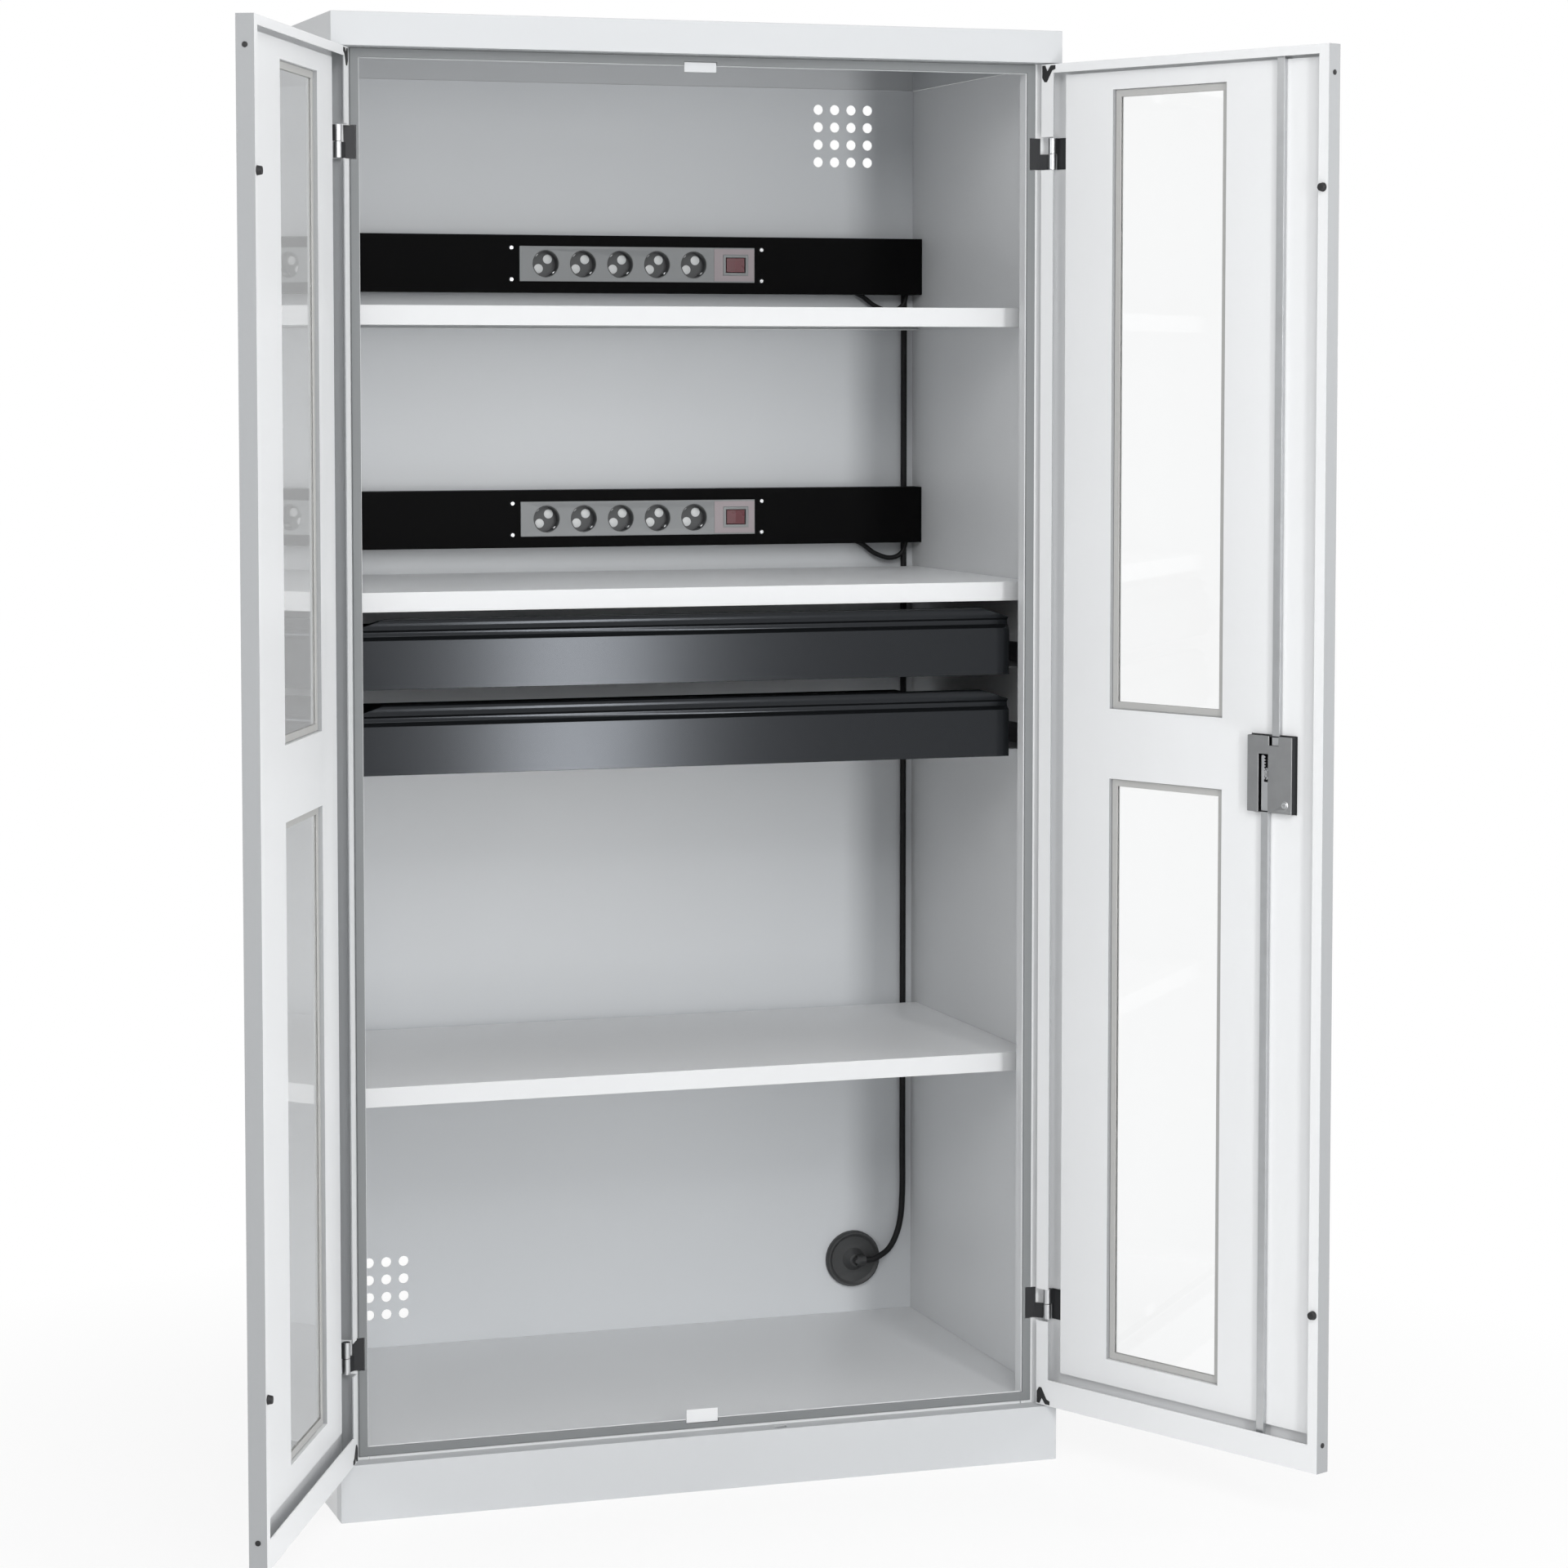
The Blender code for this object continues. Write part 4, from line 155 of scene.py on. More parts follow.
@dataclass
class Board:
    """A node tree: one material's, the world's, or one of Geometry Nodes."""

    tree: bpy.types.NodeTree

    def node(self, kind: str, settings: dict, inputs: dict) -> bpy.types.Node:
        """Add a node.

        Args:
            kind: Blender's name of the node type.
            settings: Its properties.
            inputs: Values or links for its sockets, by name or index.

        Returns:
            The node.
        """
        made = self.tree.nodes.new(kind)
        for name, value in settings.items():
            setattr(made, name, value)
        for name, value in inputs.items():
            self.feed(made.inputs[name], value)
        return made

    def feed(self, socket: bpy.types.NodeSocket, value: object) -> None:
        """Give a socket a value or a link.

        Args:
            socket: The input socket.
            value: A signal, an output socket, or a plain value.
        """
        if isinstance(value, Signal):
            self.tree.links.new(value.socket, socket)
        elif isinstance(value, bpy.types.NodeSocket):
            self.tree.links.new(value, socket)
        else:
            socket.default_value = value

    def math(self, operation: str, first: Signal | float, second: Signal | float) -> Signal:
        """Add one Math node.

        Args:
            operation: Blender's name of the operation.
            first: The first value.
            second: The second value.

        Returns:
            The node's result.
        """
        made = self.node("ShaderNodeMath", {"operation": operation}, {0: first, 1: second})
        return Signal(self, made.outputs[0])

    def place(self) -> bpy.types.NodeSocket:
        """The output socket of the Object coordinates."""
        return self.node("ShaderNodeTexCoord", {}, {}).outputs["Object"]

    def noise(self, scale: float, detail: float = 2.0,
              stretch: Sequence[float] = (1, 1, 1)) -> Signal:
        """Noise from 0 to 1 over the object.

        Args:
            scale: Features per metre.
            detail: Octaves of finer noise.
            stretch: The factor along each axis.

        Returns:
            The noise.
        """
        mapping = self.node("ShaderNodeMapping", {}, {"Vector": self.place(), "Scale": stretch})
        made = self.node("ShaderNodeTexNoise", {}, {
            "Vector": mapping.outputs[0], "Scale": scale, "Detail": detail})
        return Signal(self, made.outputs[0])

    def mix(self, factor: Signal, first: object, second: Sequence[float]
            ) -> bpy.types.NodeSocket:
        """Mix two colours.

        Args:
            factor: How much of the second colour shows.
            first: The first colour, plain or as an output socket.
            second: The second colour.

        Returns:
            The output socket of the mixed colour.
        """
        base = first if isinstance(first, bpy.types.NodeSocket) else (*first, 1.0)
        made = self.node("ShaderNodeMix", {"data_type": "RGBA"},
                         {0: factor, 6: base, 7: (*second, 1.0)})
        return made.outputs[2]

    def faces(self, direction: Sequence[float]) -> Signal:
        """1 where the surface faces a direction or its mirror image across the middle: the mask that paints light
        and shade by facing.

        Args:
            direction: The direction, in Object coordinates.

        Returns:
            The mask.
        """
        normal = self.node("ShaderNodeTexCoord", {}, {}).outputs["Normal"]
        parts = self.node("ShaderNodeSeparateXYZ", {}, {0: normal})
        x, y, z = [Signal(self, output) for output in parts.outputs]
        along = (self.math("ABSOLUTE", x, 0.0) * direction[0] + y * direction[1]
                 + z * direction[2])
        return self.math("GREATER_THAN", along, PAINTED_LIGHT_FACING_COSINE)

    def background_seen(self) -> Signal:
        """1 for the rays that see the background: the camera's, and those of gloss and glass."""
        ray = self.node("ShaderNodeLightPath", {}, {})
        camera, gloss, glass = [Signal(self, ray.outputs[name]) for name in
                                ("Is Camera Ray", "Is Glossy Ray", "Is Transmission Ray")]
        return self.math("MAXIMUM", self.math("MAXIMUM", camera, gloss), glass)


class Coating(Board):
    """The node tree of one material."""

    def __init__(self, name: str) -> None:
        """Start a material.

        Args:
            name: The material's name.
        """
        self.material = bpy.data.materials.new(name)
        self.material.use_nodes = True
        super().__init__(self.material.node_tree)
        self.shader = self.tree.nodes["Principled BSDF"]

    def bump(self, height: Signal, distance: float) -> None:
        """Raise the surface by a height.

        Args:
            height: The height, from 0 to 1.
            distance: What a height of 1 means, in metres.
        """
        made = self.node("ShaderNodeBump", {}, {"Height": height, "Distance": distance})
        self.feed(self.shader.inputs["Normal"], made.outputs["Normal"])

    def set(self, **values: object) -> None:
        """Give the shader values or links by its sockets' names, with _ for a space."""
        for name, value in values.items():
            self.feed(self.shader.inputs[name.replace("_", " ")], value)


@dataclass(frozen=True)
class Paint:
    """Powder coat: an even colour with a fine skin like orange peel, whose faces turned given ways can take other
    colours as painted light or painted shade.
    """

    slot: str
    colour: Triple
    roughness: float
    metallic: float = 0.0
    gloss: float = 0.5
    peel_scale: float = 520.0
    peel_height: float = 0.00004
    peel_roughness: float = 0.05
    cloud_scale: float = 3.0
    cloud_depth: float = 0.04
    cloud_roughness: float = 0.06
    # Colours painted on the faces turned each given way, as painted light or painted shade
    sides: tuple[tuple[Triple, Triple], ...] = ()

    def material(self) -> bpy.types.Material:
        """Build the material."""
        board = Coating(self.slot)
        darker = tuple(value * (1 - self.cloud_depth) for value in self.colour)
        cloud = board.noise(self.cloud_scale, detail=3.0)
        grain = board.noise(self.peel_scale, detail=1.0)
        base = board.mix(cloud, self.colour, darker)
        # Painted light and shade: faces turned each given way take that way's colour
        for direction, colour in self.sides:
            base = board.mix(board.faces(direction), base, colour)
        board.set(Base_Color=base, Metallic=self.metallic, Specular_IOR_Level=self.gloss,
                  Roughness=self.roughness + cloud.swing(self.cloud_roughness)
                  + grain.swing(self.peel_roughness))
        board.bump(grain, self.peel_height)
        return board.material


@dataclass(frozen=True)
class Moulded:
    """Moulded plastic or rubber with a fine matt grain."""

    slot: str
    colour: Triple
    roughness: float
    grain_scale: float = 1400.0
    grain_height: float = 0.00003
    patch_scale: float = 28.0
    patch_roughness: float = 0.12
    dust: float = 0.0144
    gloss: float = 0.5

    def material(self) -> bpy.types.Material:
        """Build the material."""
        board = Coating(self.slot)
        paler = tuple(value + (1 - value) * self.dust for value in self.colour)
        grain = board.noise(self.grain_scale)
        patch = board.noise(self.patch_scale, detail=3.0)
        board.set(Base_Color=board.mix(patch, self.colour, paler),
                  Roughness=self.roughness + patch.swing(self.patch_roughness),
                  Specular_IOR_Level=self.gloss)
        board.bump(grain, self.grain_height)
        return board.material


@dataclass(frozen=True)
class Metal:
    """Bare or plated steel with drawn streaks and faint spangles."""

    slot: str
    colour: Triple
    roughness: float
    stretch: Triple = (1.0, 1.0, 0.06)
    streak_scale: float = 900.0
    streak_height: float = 0.00002
    streak_roughness: float = 0.16
    patch_scale: float = 45.0
    patch_shade: float = 0.82
    patch_roughness: float = 0.10

    def material(self) -> bpy.types.Material:
        """Build the material."""
        board = Coating(self.slot)
        darker = tuple(value * self.patch_shade for value in self.colour)
        streak = board.noise(self.streak_scale, 3.0, self.stretch)
        patch = board.noise(self.patch_scale, detail=4.0)
        board.set(Base_Color=board.mix(patch, self.colour, darker), Metallic=1.0,
                  Roughness=self.roughness + streak.swing(self.streak_roughness)
                  + patch.swing(self.patch_roughness))
        board.bump(streak, self.streak_height)
        return board.material


@dataclass(frozen=True)
class Pane:
    """A clear plastic pane."""

    slot: str
    tint: Triple
    roughness: float
    refraction: float
    smear_scale: float = 9.0
    smear_roughness: float = 0.03

    def material(self) -> bpy.types.Material:
        """Build the material."""
        board = Coating(self.slot)
        smear = board.noise(self.smear_scale, detail=4.0)
        board.set(Base_Color=(*self.tint, 1.0), IOR=self.refraction, Transmission_Weight=1.0,
                  Roughness=self.roughness + self.smear_roughness * smear)
        return board.material


class Finish(Enum):
    """Every finish of the cabinet. The body paint comes in lighter and darker copies that paint light and shade.
    """

    # BODY, SIDE and INNER are one powder coat: the side panels, floor and back wall take lighter copies of it as
    # painted light in the cavity.
    BODY = Paint("body_paint", BODY_GREY, 0.42)
    SIDE = Paint("body_paint", (0.78, 0.79, 0.80), 0.42)
    # The doors' paint is a lighter copy of the body's, as painted light on their inner faces; their free edges get
    # dark grey as painted shade, and their outer faces the body's grey.
    DOOR = Paint("body_paint", (0.83, 0.84, 0.85), 0.42,
                 sides=((SHADED_FREE_EDGE, (0.36, 0.37, 0.38)), (OUTER_FACE, BODY_GREY)))
    # Shelves: a copy of the body paint, with their upward faces painted lighter as painted light from above.
    SHELF = Paint("body_paint", (0.70, 0.71, 0.72), 0.42, sides=((UP, (0.92, 0.93, 0.94)),))
    INNER = Paint("inner_paint", (0.68, 0.70, 0.72), 0.36)
    BLACK = Paint("black_paint", (0.002, 0.002, 0.0022), 0.55, gloss=0.05)
    ANTHRACITE = Paint("anthracite_paint", (0.022, 0.024, 0.027), 0.16, metallic=0.7, gloss=0.3,
                       peel_height=0.00001)
    ZINC = Metal("zinc_steel", (0.60, 0.61, 0.62), 0.34)
    DARK_STEEL = Paint("dark_steel", (0.022, 0.023, 0.025), 0.45, metallic=0.2, gloss=0.3)
    LOCK_STEEL = Metal("dark_steel", (0.37, 0.375, 0.38), 0.42)
    # A seal strip whose dark grey also paints the shade that falls round the door opening beside the open doors.
    SEAL = Moulded("seal_rubber", (0.20, 0.21, 0.215), 0.72)
    WINDOW_SEAL = Moulded("seal_rubber", (0.46, 0.46, 0.45), 0.60)
    PLASTIC = Moulded("black_plastic", (0.012, 0.012, 0.013), 0.52, gloss=0.35)
    INLET = Moulded("black_plastic", (0.030, 0.031, 0.032), 0.48, gloss=0.5)
    GREY_PLASTIC = Moulded("grey_plastic", (0.27, 0.28, 0.285), 0.48)
    SWITCH_PLATE = Moulded("grey_plastic", (0.36, 0.31, 0.325), 0.42)
    SOCKET_CUP = Moulded("grey_plastic", (0.070, 0.073, 0.076), 0.50)
    # Shutters over the socket contacts, whose white also paints the highlights in the sockets.
    SHUTTER = Moulded("grey_plastic", (0.84, 0.86, 0.86), 0.35)
    ROCKER = Moulded("red_rocker", (0.11, 0.008, 0.016), 0.28)
    CABLE = Moulded("cable_sheath", (0.006, 0.006, 0.007), 0.5, gloss=0.2)
    PANE = Pane("clear_pane", (0.985, 0.99, 0.99), 0.01, 1.46)


def linked(name: str, data: bpy.types.ID) -> bpy.types.Object:
    """Put an object into the scene.

    Args:
        name: The object's name.
        data: What it holds.

    Returns:
        The object.
    """
    made = bpy.data.objects.new(name, data)
    bpy.context.scene.collection.objects.link(made)
    return made


@dataclass
class Workshop:
    """Makes pieces, gives them a finish and puts them on a body of the frame."""

    mixed: dict[Finish, bpy.types.Material] = field(default_factory=dict)

    def material(self, finish: Finish) -> bpy.types.Material:
        """The material of a finish, made once.

        Args:
            finish: The finish.

        Returns:
            Its material.
        """
        if finish not in self.mixed:
            self.mixed[finish] = finish.value.material()
        return self.mixed[finish]

    def add(self, data: bpy.types.ID, body: str, finish: Finish,
            stands_for: Iterable[str] = ()) -> bpy.types.Object:
        """Add a piece of our own.

        Args:
            data: Its mesh or curve, in place and with the piece's name.
            body: The body that it rides on.
            finish: Its finish.
            stands_for: Nodes of the frame that it replaces.

        Returns:
            The piece.
        """
        piece = linked(data.name, data)
        data.materials.clear()
        data.materials.append(self.material(finish))
        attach(piece, body)
        if stands_for:
            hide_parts(*stands_for)
        LOG.info("%s rides on %s", data.name, body)
        return piece

    def refit(self, finish: Finish, edge: float, *nodes: str) -> None:
        """Stand welded copies of nodes in their place, with rounded edges.

        Args:
            finish: The copies' finish.
            edge: Width of the rounding of their sharp edges, or 0 for none.
            *nodes: The nodes' names.
        """
        for node in nodes:
            tool = bmesh.new()
            tool.from_mesh(frame["nodes"][node].data)
            bmesh.ops.remove_doubles(tool, verts=tool.verts, dist=WELD)
            bmesh.ops.dissolve_limit(tool, angle_limit=FLAT, verts=tool.verts, edges=tool.edges)
            mesh = bpy.data.meshes.new(node + "_skin")
            tool.to_mesh(mesh)
            tool.free()
            mesh.shade_smooth()
            mesh.set_sharp_from_angle(angle=CREASE)
            piece = self.add(mesh, BODY_OF_NODE[node], finish, (node,))
            if edge:
                bevel = piece.modifiers.new("rounded edges", "BEVEL")
                bevel.width = edge
                bevel.segments = BEVEL_STEPS
                bevel.limit_method = "ANGLE"
                bevel.angle_limit = CREASE
                bevel.harden_normals = True


def solid(pieces: Iterable[bmesh.types.BMesh], name: str) -> bpy.types.Mesh:
    """Join finished shapes into one mesh with smooth round parts.

    Args:
        pieces: The shapes, which are used up.
        name: The mesh's name.

    Returns:
        The mesh.
    """
    mesh = bpy.data.meshes.new(name)
    whole = bmesh.new()
    for piece in pieces:
        bmesh.ops.recalc_face_normals(piece, faces=piece.faces)
        piece.to_mesh(mesh)
        piece.free()
        whole.from_mesh(mesh)
    whole.to_mesh(mesh)
    whole.free()
    mesh.shade_smooth()
    mesh.set_sharp_from_angle(angle=CREASE)
    return mesh


def slab(low: Sequence[float], high: Sequence[float], edge: float = 0.0) -> bmesh.types.BMesh:
    """A box between two corners with its edges rounded.

    Args:
        low: One corner.
        high: The other corner.
        edge: Width of the rounding, or 0 for none.

    Returns:
        The shape.
    """
    ends = [sorted(pair) for pair in zip(low, high)]
    centre = Vector([(first + last) / 2 for first, last in ends])
    size = Vector([last - first for first, last in ends])
    tool = bmesh.new()
    bmesh.ops.create_cube(tool, size=1, matrix=Matrix.LocRotScale(centre, None, size))
    if edge:
        bmesh.ops.bevel(tool, geom=tool.edges[:], offset=edge, segments=BEVEL_STEPS,
                        affect="EDGES", profile=0.5)
    return tool


def turned(profile: Sequence[Pair], axis: Matrix, steps: int) -> bmesh.types.BMesh:
    """A turned shape.

    Args:
        profile: Its outline as radii and heights, from the middle of one end to the other's.
        axis: Turns +Z into the shape's axis and moves it to its place.
        steps: Sides of the round.

    Returns:
        The shape.
    """
    tool = bmesh.new()
    line = [tool.verts.new((radius, 0, height)) for radius, height in profile]
    edges = [tool.edges.new(pair) for pair in zip(line, line[1:])]
    bmesh.ops.spin(tool, geom=line + edges, cent=(0, 0, 0), axis=(0, 0, 1), angle=2 * math.pi,
                   steps=steps)
    bmesh.ops.remove_doubles(tool, verts=tool.verts, dist=WELD)
    bmesh.ops.transform(tool, matrix=axis, verts=tool.verts)
    return tool


def dome(radius: float, height: float, crown: float) -> list[Pair]:
    """The outline of a low round head, whose flat top is a share of its radius."""
    return [(0, height), (radius * crown, height), (radius, height / 2), (radius, 0), (0, 0)]


def facing(place: Sequence[float], direction: Sequence[float]) -> Matrix:
    """The matrix that moves a shape to a place and turns its +Z to a direction.

    Args:
        place: Where the shape's origin goes.
        direction: Where its +Z points.

    Returns:
        The matrix.
    """
    turn = Vector(direction).to_track_quat("Z", "Y")
    return Matrix.LocRotScale(Vector(place), turn, None)


class Pattern(Board):
    """A Geometry Nodes tree that repeats a shape, with named inputs for its sizes."""

    def __init__(self, name: str, sizes: dict[str, tuple[str, object]]) -> None:
        """Start a tree.

        Args:
            name: The tree's name.
            sizes: Socket type and value of each input, by the input's name.
        """
        tree = bpy.data.node_groups.new(name, "GeometryNodeTree")
        tree.is_modifier = True
        super().__init__(tree)
        tree.interface.new_socket("Geometry", in_out="INPUT", socket_type="NodeSocketGeometry")
        tree.interface.new_socket("Geometry", in_out="OUTPUT", socket_type="NodeSocketGeometry")
        self.sizes = sizes
        self.keys = {name: tree.interface.new_socket(name, in_out="INPUT", socket_type=kind)
                     .identifier for name, (kind, _) in sizes.items()}
        self.given = self.node("NodeGroupInput", {}, {})
        self.result = self.node("NodeGroupOutput", {}, {})

    def size(self, name: str) -> bpy.types.NodeSocket:
        """The socket of a named input."""
        return self.given.outputs[name]

    def spread(self, points: bpy.types.NodeSocket, shape: bpy.types.NodeSocket) -> None:
        """Put a shape on every point by the input Turn, with the input Finish.

        Args:
            points: The points.
            shape: The shape.
        """
        copies = self.node("GeometryNodeInstanceOnPoints", {}, {
            "Points": points, "Instance": shape, "Rotation": self.size("Turn")})
        real = self.node("GeometryNodeRealizeInstances", {}, {"Geometry": copies.outputs[0]})
        painted = self.node("GeometryNodeSetMaterial", {},
                            {"Geometry": real.outputs[0], "Material": self.size("Finish")})
        self.feed(self.result.inputs[0], painted.outputs[0])

    def make(self, name: str, mesh: bpy.types.Mesh) -> bpy.types.Mesh:
        """Run the tree on a mesh.

        Args:
            name: The result's name.
            mesh: The mesh that the tree starts from.

        Returns:
            The result as a plain mesh.
        """
        holder = linked(name + "_holder", mesh)
        modifier = holder.modifiers.new("pattern", "NODES")
        modifier.node_group = self.tree
        for size, (_, value) in self.sizes.items():
            modifier[self.keys[size]] = value
        bpy.context.view_layer.update()
        graph = bpy.context.evaluated_depsgraph_get()
        baked = bpy.data.meshes.new_from_object(holder.evaluated_get(graph))
        baked.name = name
        bpy.data.objects.remove(holder, do_unlink=True)
        return baked


@dataclass(frozen=True)
class Screws:
    """Round headed screws with a cross recess, all facing one way."""

    radius: float = 0.0035
    height: float = 0.0016
    recess: float = 0.0009
    top_share: float = 0.7
    sides: int = 20

    def mesh(self, name: str, places: Iterable[Sequence[float]], direction: Sequence[float],
             material: bpy.types.Material) -> bpy.types.Mesh:
        """Make the screws.

        Args:
            name: The mesh's name.
            places: The middles of their seats.
            direction: Where their heads face.
            material: Their finish.

        Returns:
            The mesh.
        """
        turn = tuple(Vector(direction).to_track_quat("Z", "Y").to_euler())
        tree = Pattern("screws", {
            "Head radius": ("NodeSocketFloat", self.radius),
            "Head height": ("NodeSocketFloat", self.height),
            "Recess width": ("NodeSocketFloat", self.recess),
            "Sides": ("NodeSocketInt", self.sides),
            "Turn": ("NodeSocketVector", turn),
            "Finish": ("NodeSocketMaterial", material),
        })
        radius, height, recess = [Signal(tree, tree.size(name)) for name in
                                  ("Head radius", "Head height", "Recess width")]
        head = tree.node("GeometryNodeMeshCone", {}, {
            "Vertices": tree.size("Sides"), "Radius Top": radius * self.top_share,
            "Radius Bottom": radius, "Depth": height})
        bars = []
        for width, length in ((radius, recess), (recess, radius)):
            extent = tree.node("ShaderNodeCombineXYZ", {}, {"X": width, "Y": length, "Z": height})
            bar = tree.node("GeometryNodeMeshCube", {}, {"Size": extent.outputs[0]})
            lift = tree.node("ShaderNodeCombineXYZ", {}, {"Z": height})
            bars.append(tree.node("GeometryNodeTransform", {}, {
                "Geometry": bar.outputs[0], "Translation": lift.outputs[0]}).outputs[0])
        cut = head.outputs[0]
        for bar in bars:
            cut = tree.node("GeometryNodeMeshBoolean", {"operation": "DIFFERENCE"},
                            {"Mesh 1": cut, "Mesh 2": bar}).outputs[0]
        tree.spread(tree.size("Geometry"), cut)
        seats = bpy.data.meshes.new("seats")
        seats.from_pydata([tuple(place) for place in places], [], [])
        return tree.make(name, seats)


@dataclass(frozen=True)
class Row:
    """Copies of a shape in a straight row."""

    count: int
    start: Triple
    step: Triple

    def mesh(self, name: str, shape: bpy.types.Mesh, material: bpy.types.Material
             ) -> bpy.types.Mesh:
        """Make the row.

        Args:
            name: The mesh's name.
            shape: The shape that repeats, about the origin.
            material: Its finish.

        Returns:
            The mesh.
        """
        pattern = linked(name + "_shape", shape)
        tree = Pattern("row", {
            "Shape": ("NodeSocketObject", pattern),
            "Count": ("NodeSocketInt", self.count),
            "Start": ("NodeSocketVector", self.start),
            "Step": ("NodeSocketVector", self.step),
            "Turn": ("NodeSocketVector", (0.0, 0.0, 0.0)),
            "Finish": ("NodeSocketMaterial", material),
        })
        line = tree.node("GeometryNodeMeshLine", {"mode": "OFFSET"}, {
            "Count": tree.size("Count"), "Start Location": tree.size("Start"),
            "Offset": tree.size("Step")})
        shown = tree.node("GeometryNodeObjectInfo", {}, {"Object": tree.size("Shape")})
        tree.spread(line.outputs[0], shown.outputs["Geometry"])
        made = tree.make(name, bpy.data.meshes.new("start"))
        bpy.data.objects.remove(pattern, do_unlink=True)
        return made


@dataclass
class Assembly:
    """A sub-assembly of the cabinet, with its sizes as fields."""

    shop: Workshop

    def build(self) -> None:
        """Finish every piece of the sub-assembly."""
        raise NotImplementedError


@dataclass
class Carcass(Assembly):
    """The steel body with its back wall and the seal round its mouth."""

    fold: float = 0.0007
    seal_edge: float = 0.0004

    def build(self) -> None:
        """Finish the body's panels and its seal."""
        self.shop.refit(Finish.BODY, self.fold, "top_panel", "plinth")
        self.shop.refit(Finish.SIDE, self.fold, "side_panel_left", "side_panel_right",
                        "floor_panel")
        self.shop.refit(Finish.INNER, 0.0, "back_panel")
        # The seal's dark grey paints the shade round the door opening.
        self.shop.refit(Finish.SEAL, self.seal_edge, "front_seal")


@dataclass
class Shelving(Assembly):
    """The three folded shelves."""

    fold: float = 0.0006

    def build(self) -> None:
        """Finish the shelves."""
        self.shop.refit(Finish.SHELF, self.fold, "shelf_upper", "shelf_middle", "shelf_lower")


@dataclass
class PowerRail(Assembly):
    """A black rail with its socket strip, sockets, switch and screws."""

    level: Level
    fold: float = 0.0008
    frame_rise: float = 0.0015
    socket_count: int = 5
    socket_pitch: float = 0.0553
    first_socket: float = 0.0385
    cup_radius: float = 0.0192
    cup_depth: float = 0.0172
    cup_wall: float = 0.0008
    cup_steps: int = 40
    floor_thickness: float = 0.0006
    shutter_radius: float = 0.0066
    shutter_height: float = 0.0012
    shutter_crown: float = 0.75
    shutter_steps: int = 24
    contact_spacing: float = 0.019
    contact_tilt: float = math.radians(45)
    clip_width: float = 0.0045
    clip_length: float = 0.013
    plate_width: float = 0.0615
    plate_height: float = 0.046
    plate_rise: float = 0.0009
    switch_inset: float = 0.029
    switch_frame: Pair = (0.0385, 0.0305)
    screw_reach: float = 0.0115
    screw_spread: float = 0.0225

    @property
    def tag(self) -> str:
        """The strip's name in the frame's nodes."""
        return self.level.value

    @property
    def face_y(self) -> float:
        """The strip's front face, behind its raised switch frame."""
        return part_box("socket_strip_" + self.tag)[0].y + self.frame_rise

    @property
    def middle_z(self) -> float:
        """Height of the strip's middle."""
        low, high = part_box("socket_strip_" + self.tag)
        return (low.z + high.z) / 2

    def cup(self) -> bpy.types.Mesh:
        """The lining of one socket, about the middle of its mouth."""
        outer, inner = self.cup_radius, self.cup_radius - self.cup_wall
        profile = [(outer, -self.cup_depth), (outer, 0), (inner, 0),
                   (inner, self.floor_thickness - self.cup_depth),
                   (0, self.floor_thickness - self.cup_depth)]
        return solid([turned(profile, facing((0, 0, 0), FORWARD), self.cup_steps)], "cup")

    def shutters(self) -> bpy.types.Mesh:
        """The two round shutters over one socket's contacts."""
        floor = self.cup_depth - self.floor_thickness
        profile = dome(self.shutter_radius, self.shutter_height, self.shutter_crown)
        shapes = []
        for end in (-1, 1):
            across = end * self.contact_spacing / 2
            place = (across * math.cos(self.contact_tilt), floor,
                     across * math.sin(self.contact_tilt))
            shapes.append(turned(profile, facing(place, FORWARD), self.shutter_steps))
        return solid(shapes, "shutters")

    def clips(self) -> bpy.types.Mesh:
        """The two earth clips of one socket, across from its contacts."""
        floor = self.cup_depth - self.floor_thickness
        reach = self.cup_radius - self.cup_wall
        turn = Matrix.Rotation(math.pi / 2 - self.contact_tilt, 4, "Y")
        shapes = []
        for end in (-1, 1):
            shape = slab((end * (reach - self.cup_wall * 2), floor - self.clip_length,
                          -self.clip_width / 2),
                         (end * (reach - self.cup_wall / 2), floor, self.clip_width / 2),
                         self.cup_wall / 3)
            bmesh.ops.transform(shape, matrix=turn, verts=shape.verts)
            shapes.append(shape)
        return solid(shapes, "clips")

    def switch_plate(self) -> bpy.types.Mesh:
        """The plate round the switch, with room for the strip's raised frame."""
        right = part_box("socket_strip_" + self.tag)[1].x
        middle_x = right - self.switch_inset
        room_x, room_z = self.switch_frame[0] / 2, self.switch_frame[1] / 2
        left = right - self.plate_width
        right -= self.plate_rise
        top = self.plate_height / 2
        front, back = self.face_y - self.plate_rise, self.face_y
        bars = [((left, room_z), (right, top)), ((left, -top), (right, -room_z)),
                ((left, -room_z), (middle_x - room_x, room_z)),
                ((middle_x + room_x, -room_z), (right, room_z))]
        return solid([slab((low[0], front, self.middle_z + low[1]),
                           (high[0], back, self.middle_z + high[1])) for low, high in bars],
                     "switch_plate_" + self.tag)

    def build(self) -> None:
        """Finish the rail and its strip."""
        rail, strip = "power_rail_" + self.tag, "socket_strip_" + self.tag
        body = BODY_OF_NODE[strip]
        self.shop.refit(Finish.BLACK, self.fold, rail)
        self.shop.refit(Finish.GREY_PLASTIC, self.fold / 2, strip)
        self.shop.refit(Finish.ROCKER, self.fold, "rocker_switch_" + self.tag)
        low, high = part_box(strip)
        row = Row(self.socket_count, (low.x + self.first_socket, self.face_y, self.middle_z),
                  (self.socket_pitch, 0.0, 0.0))
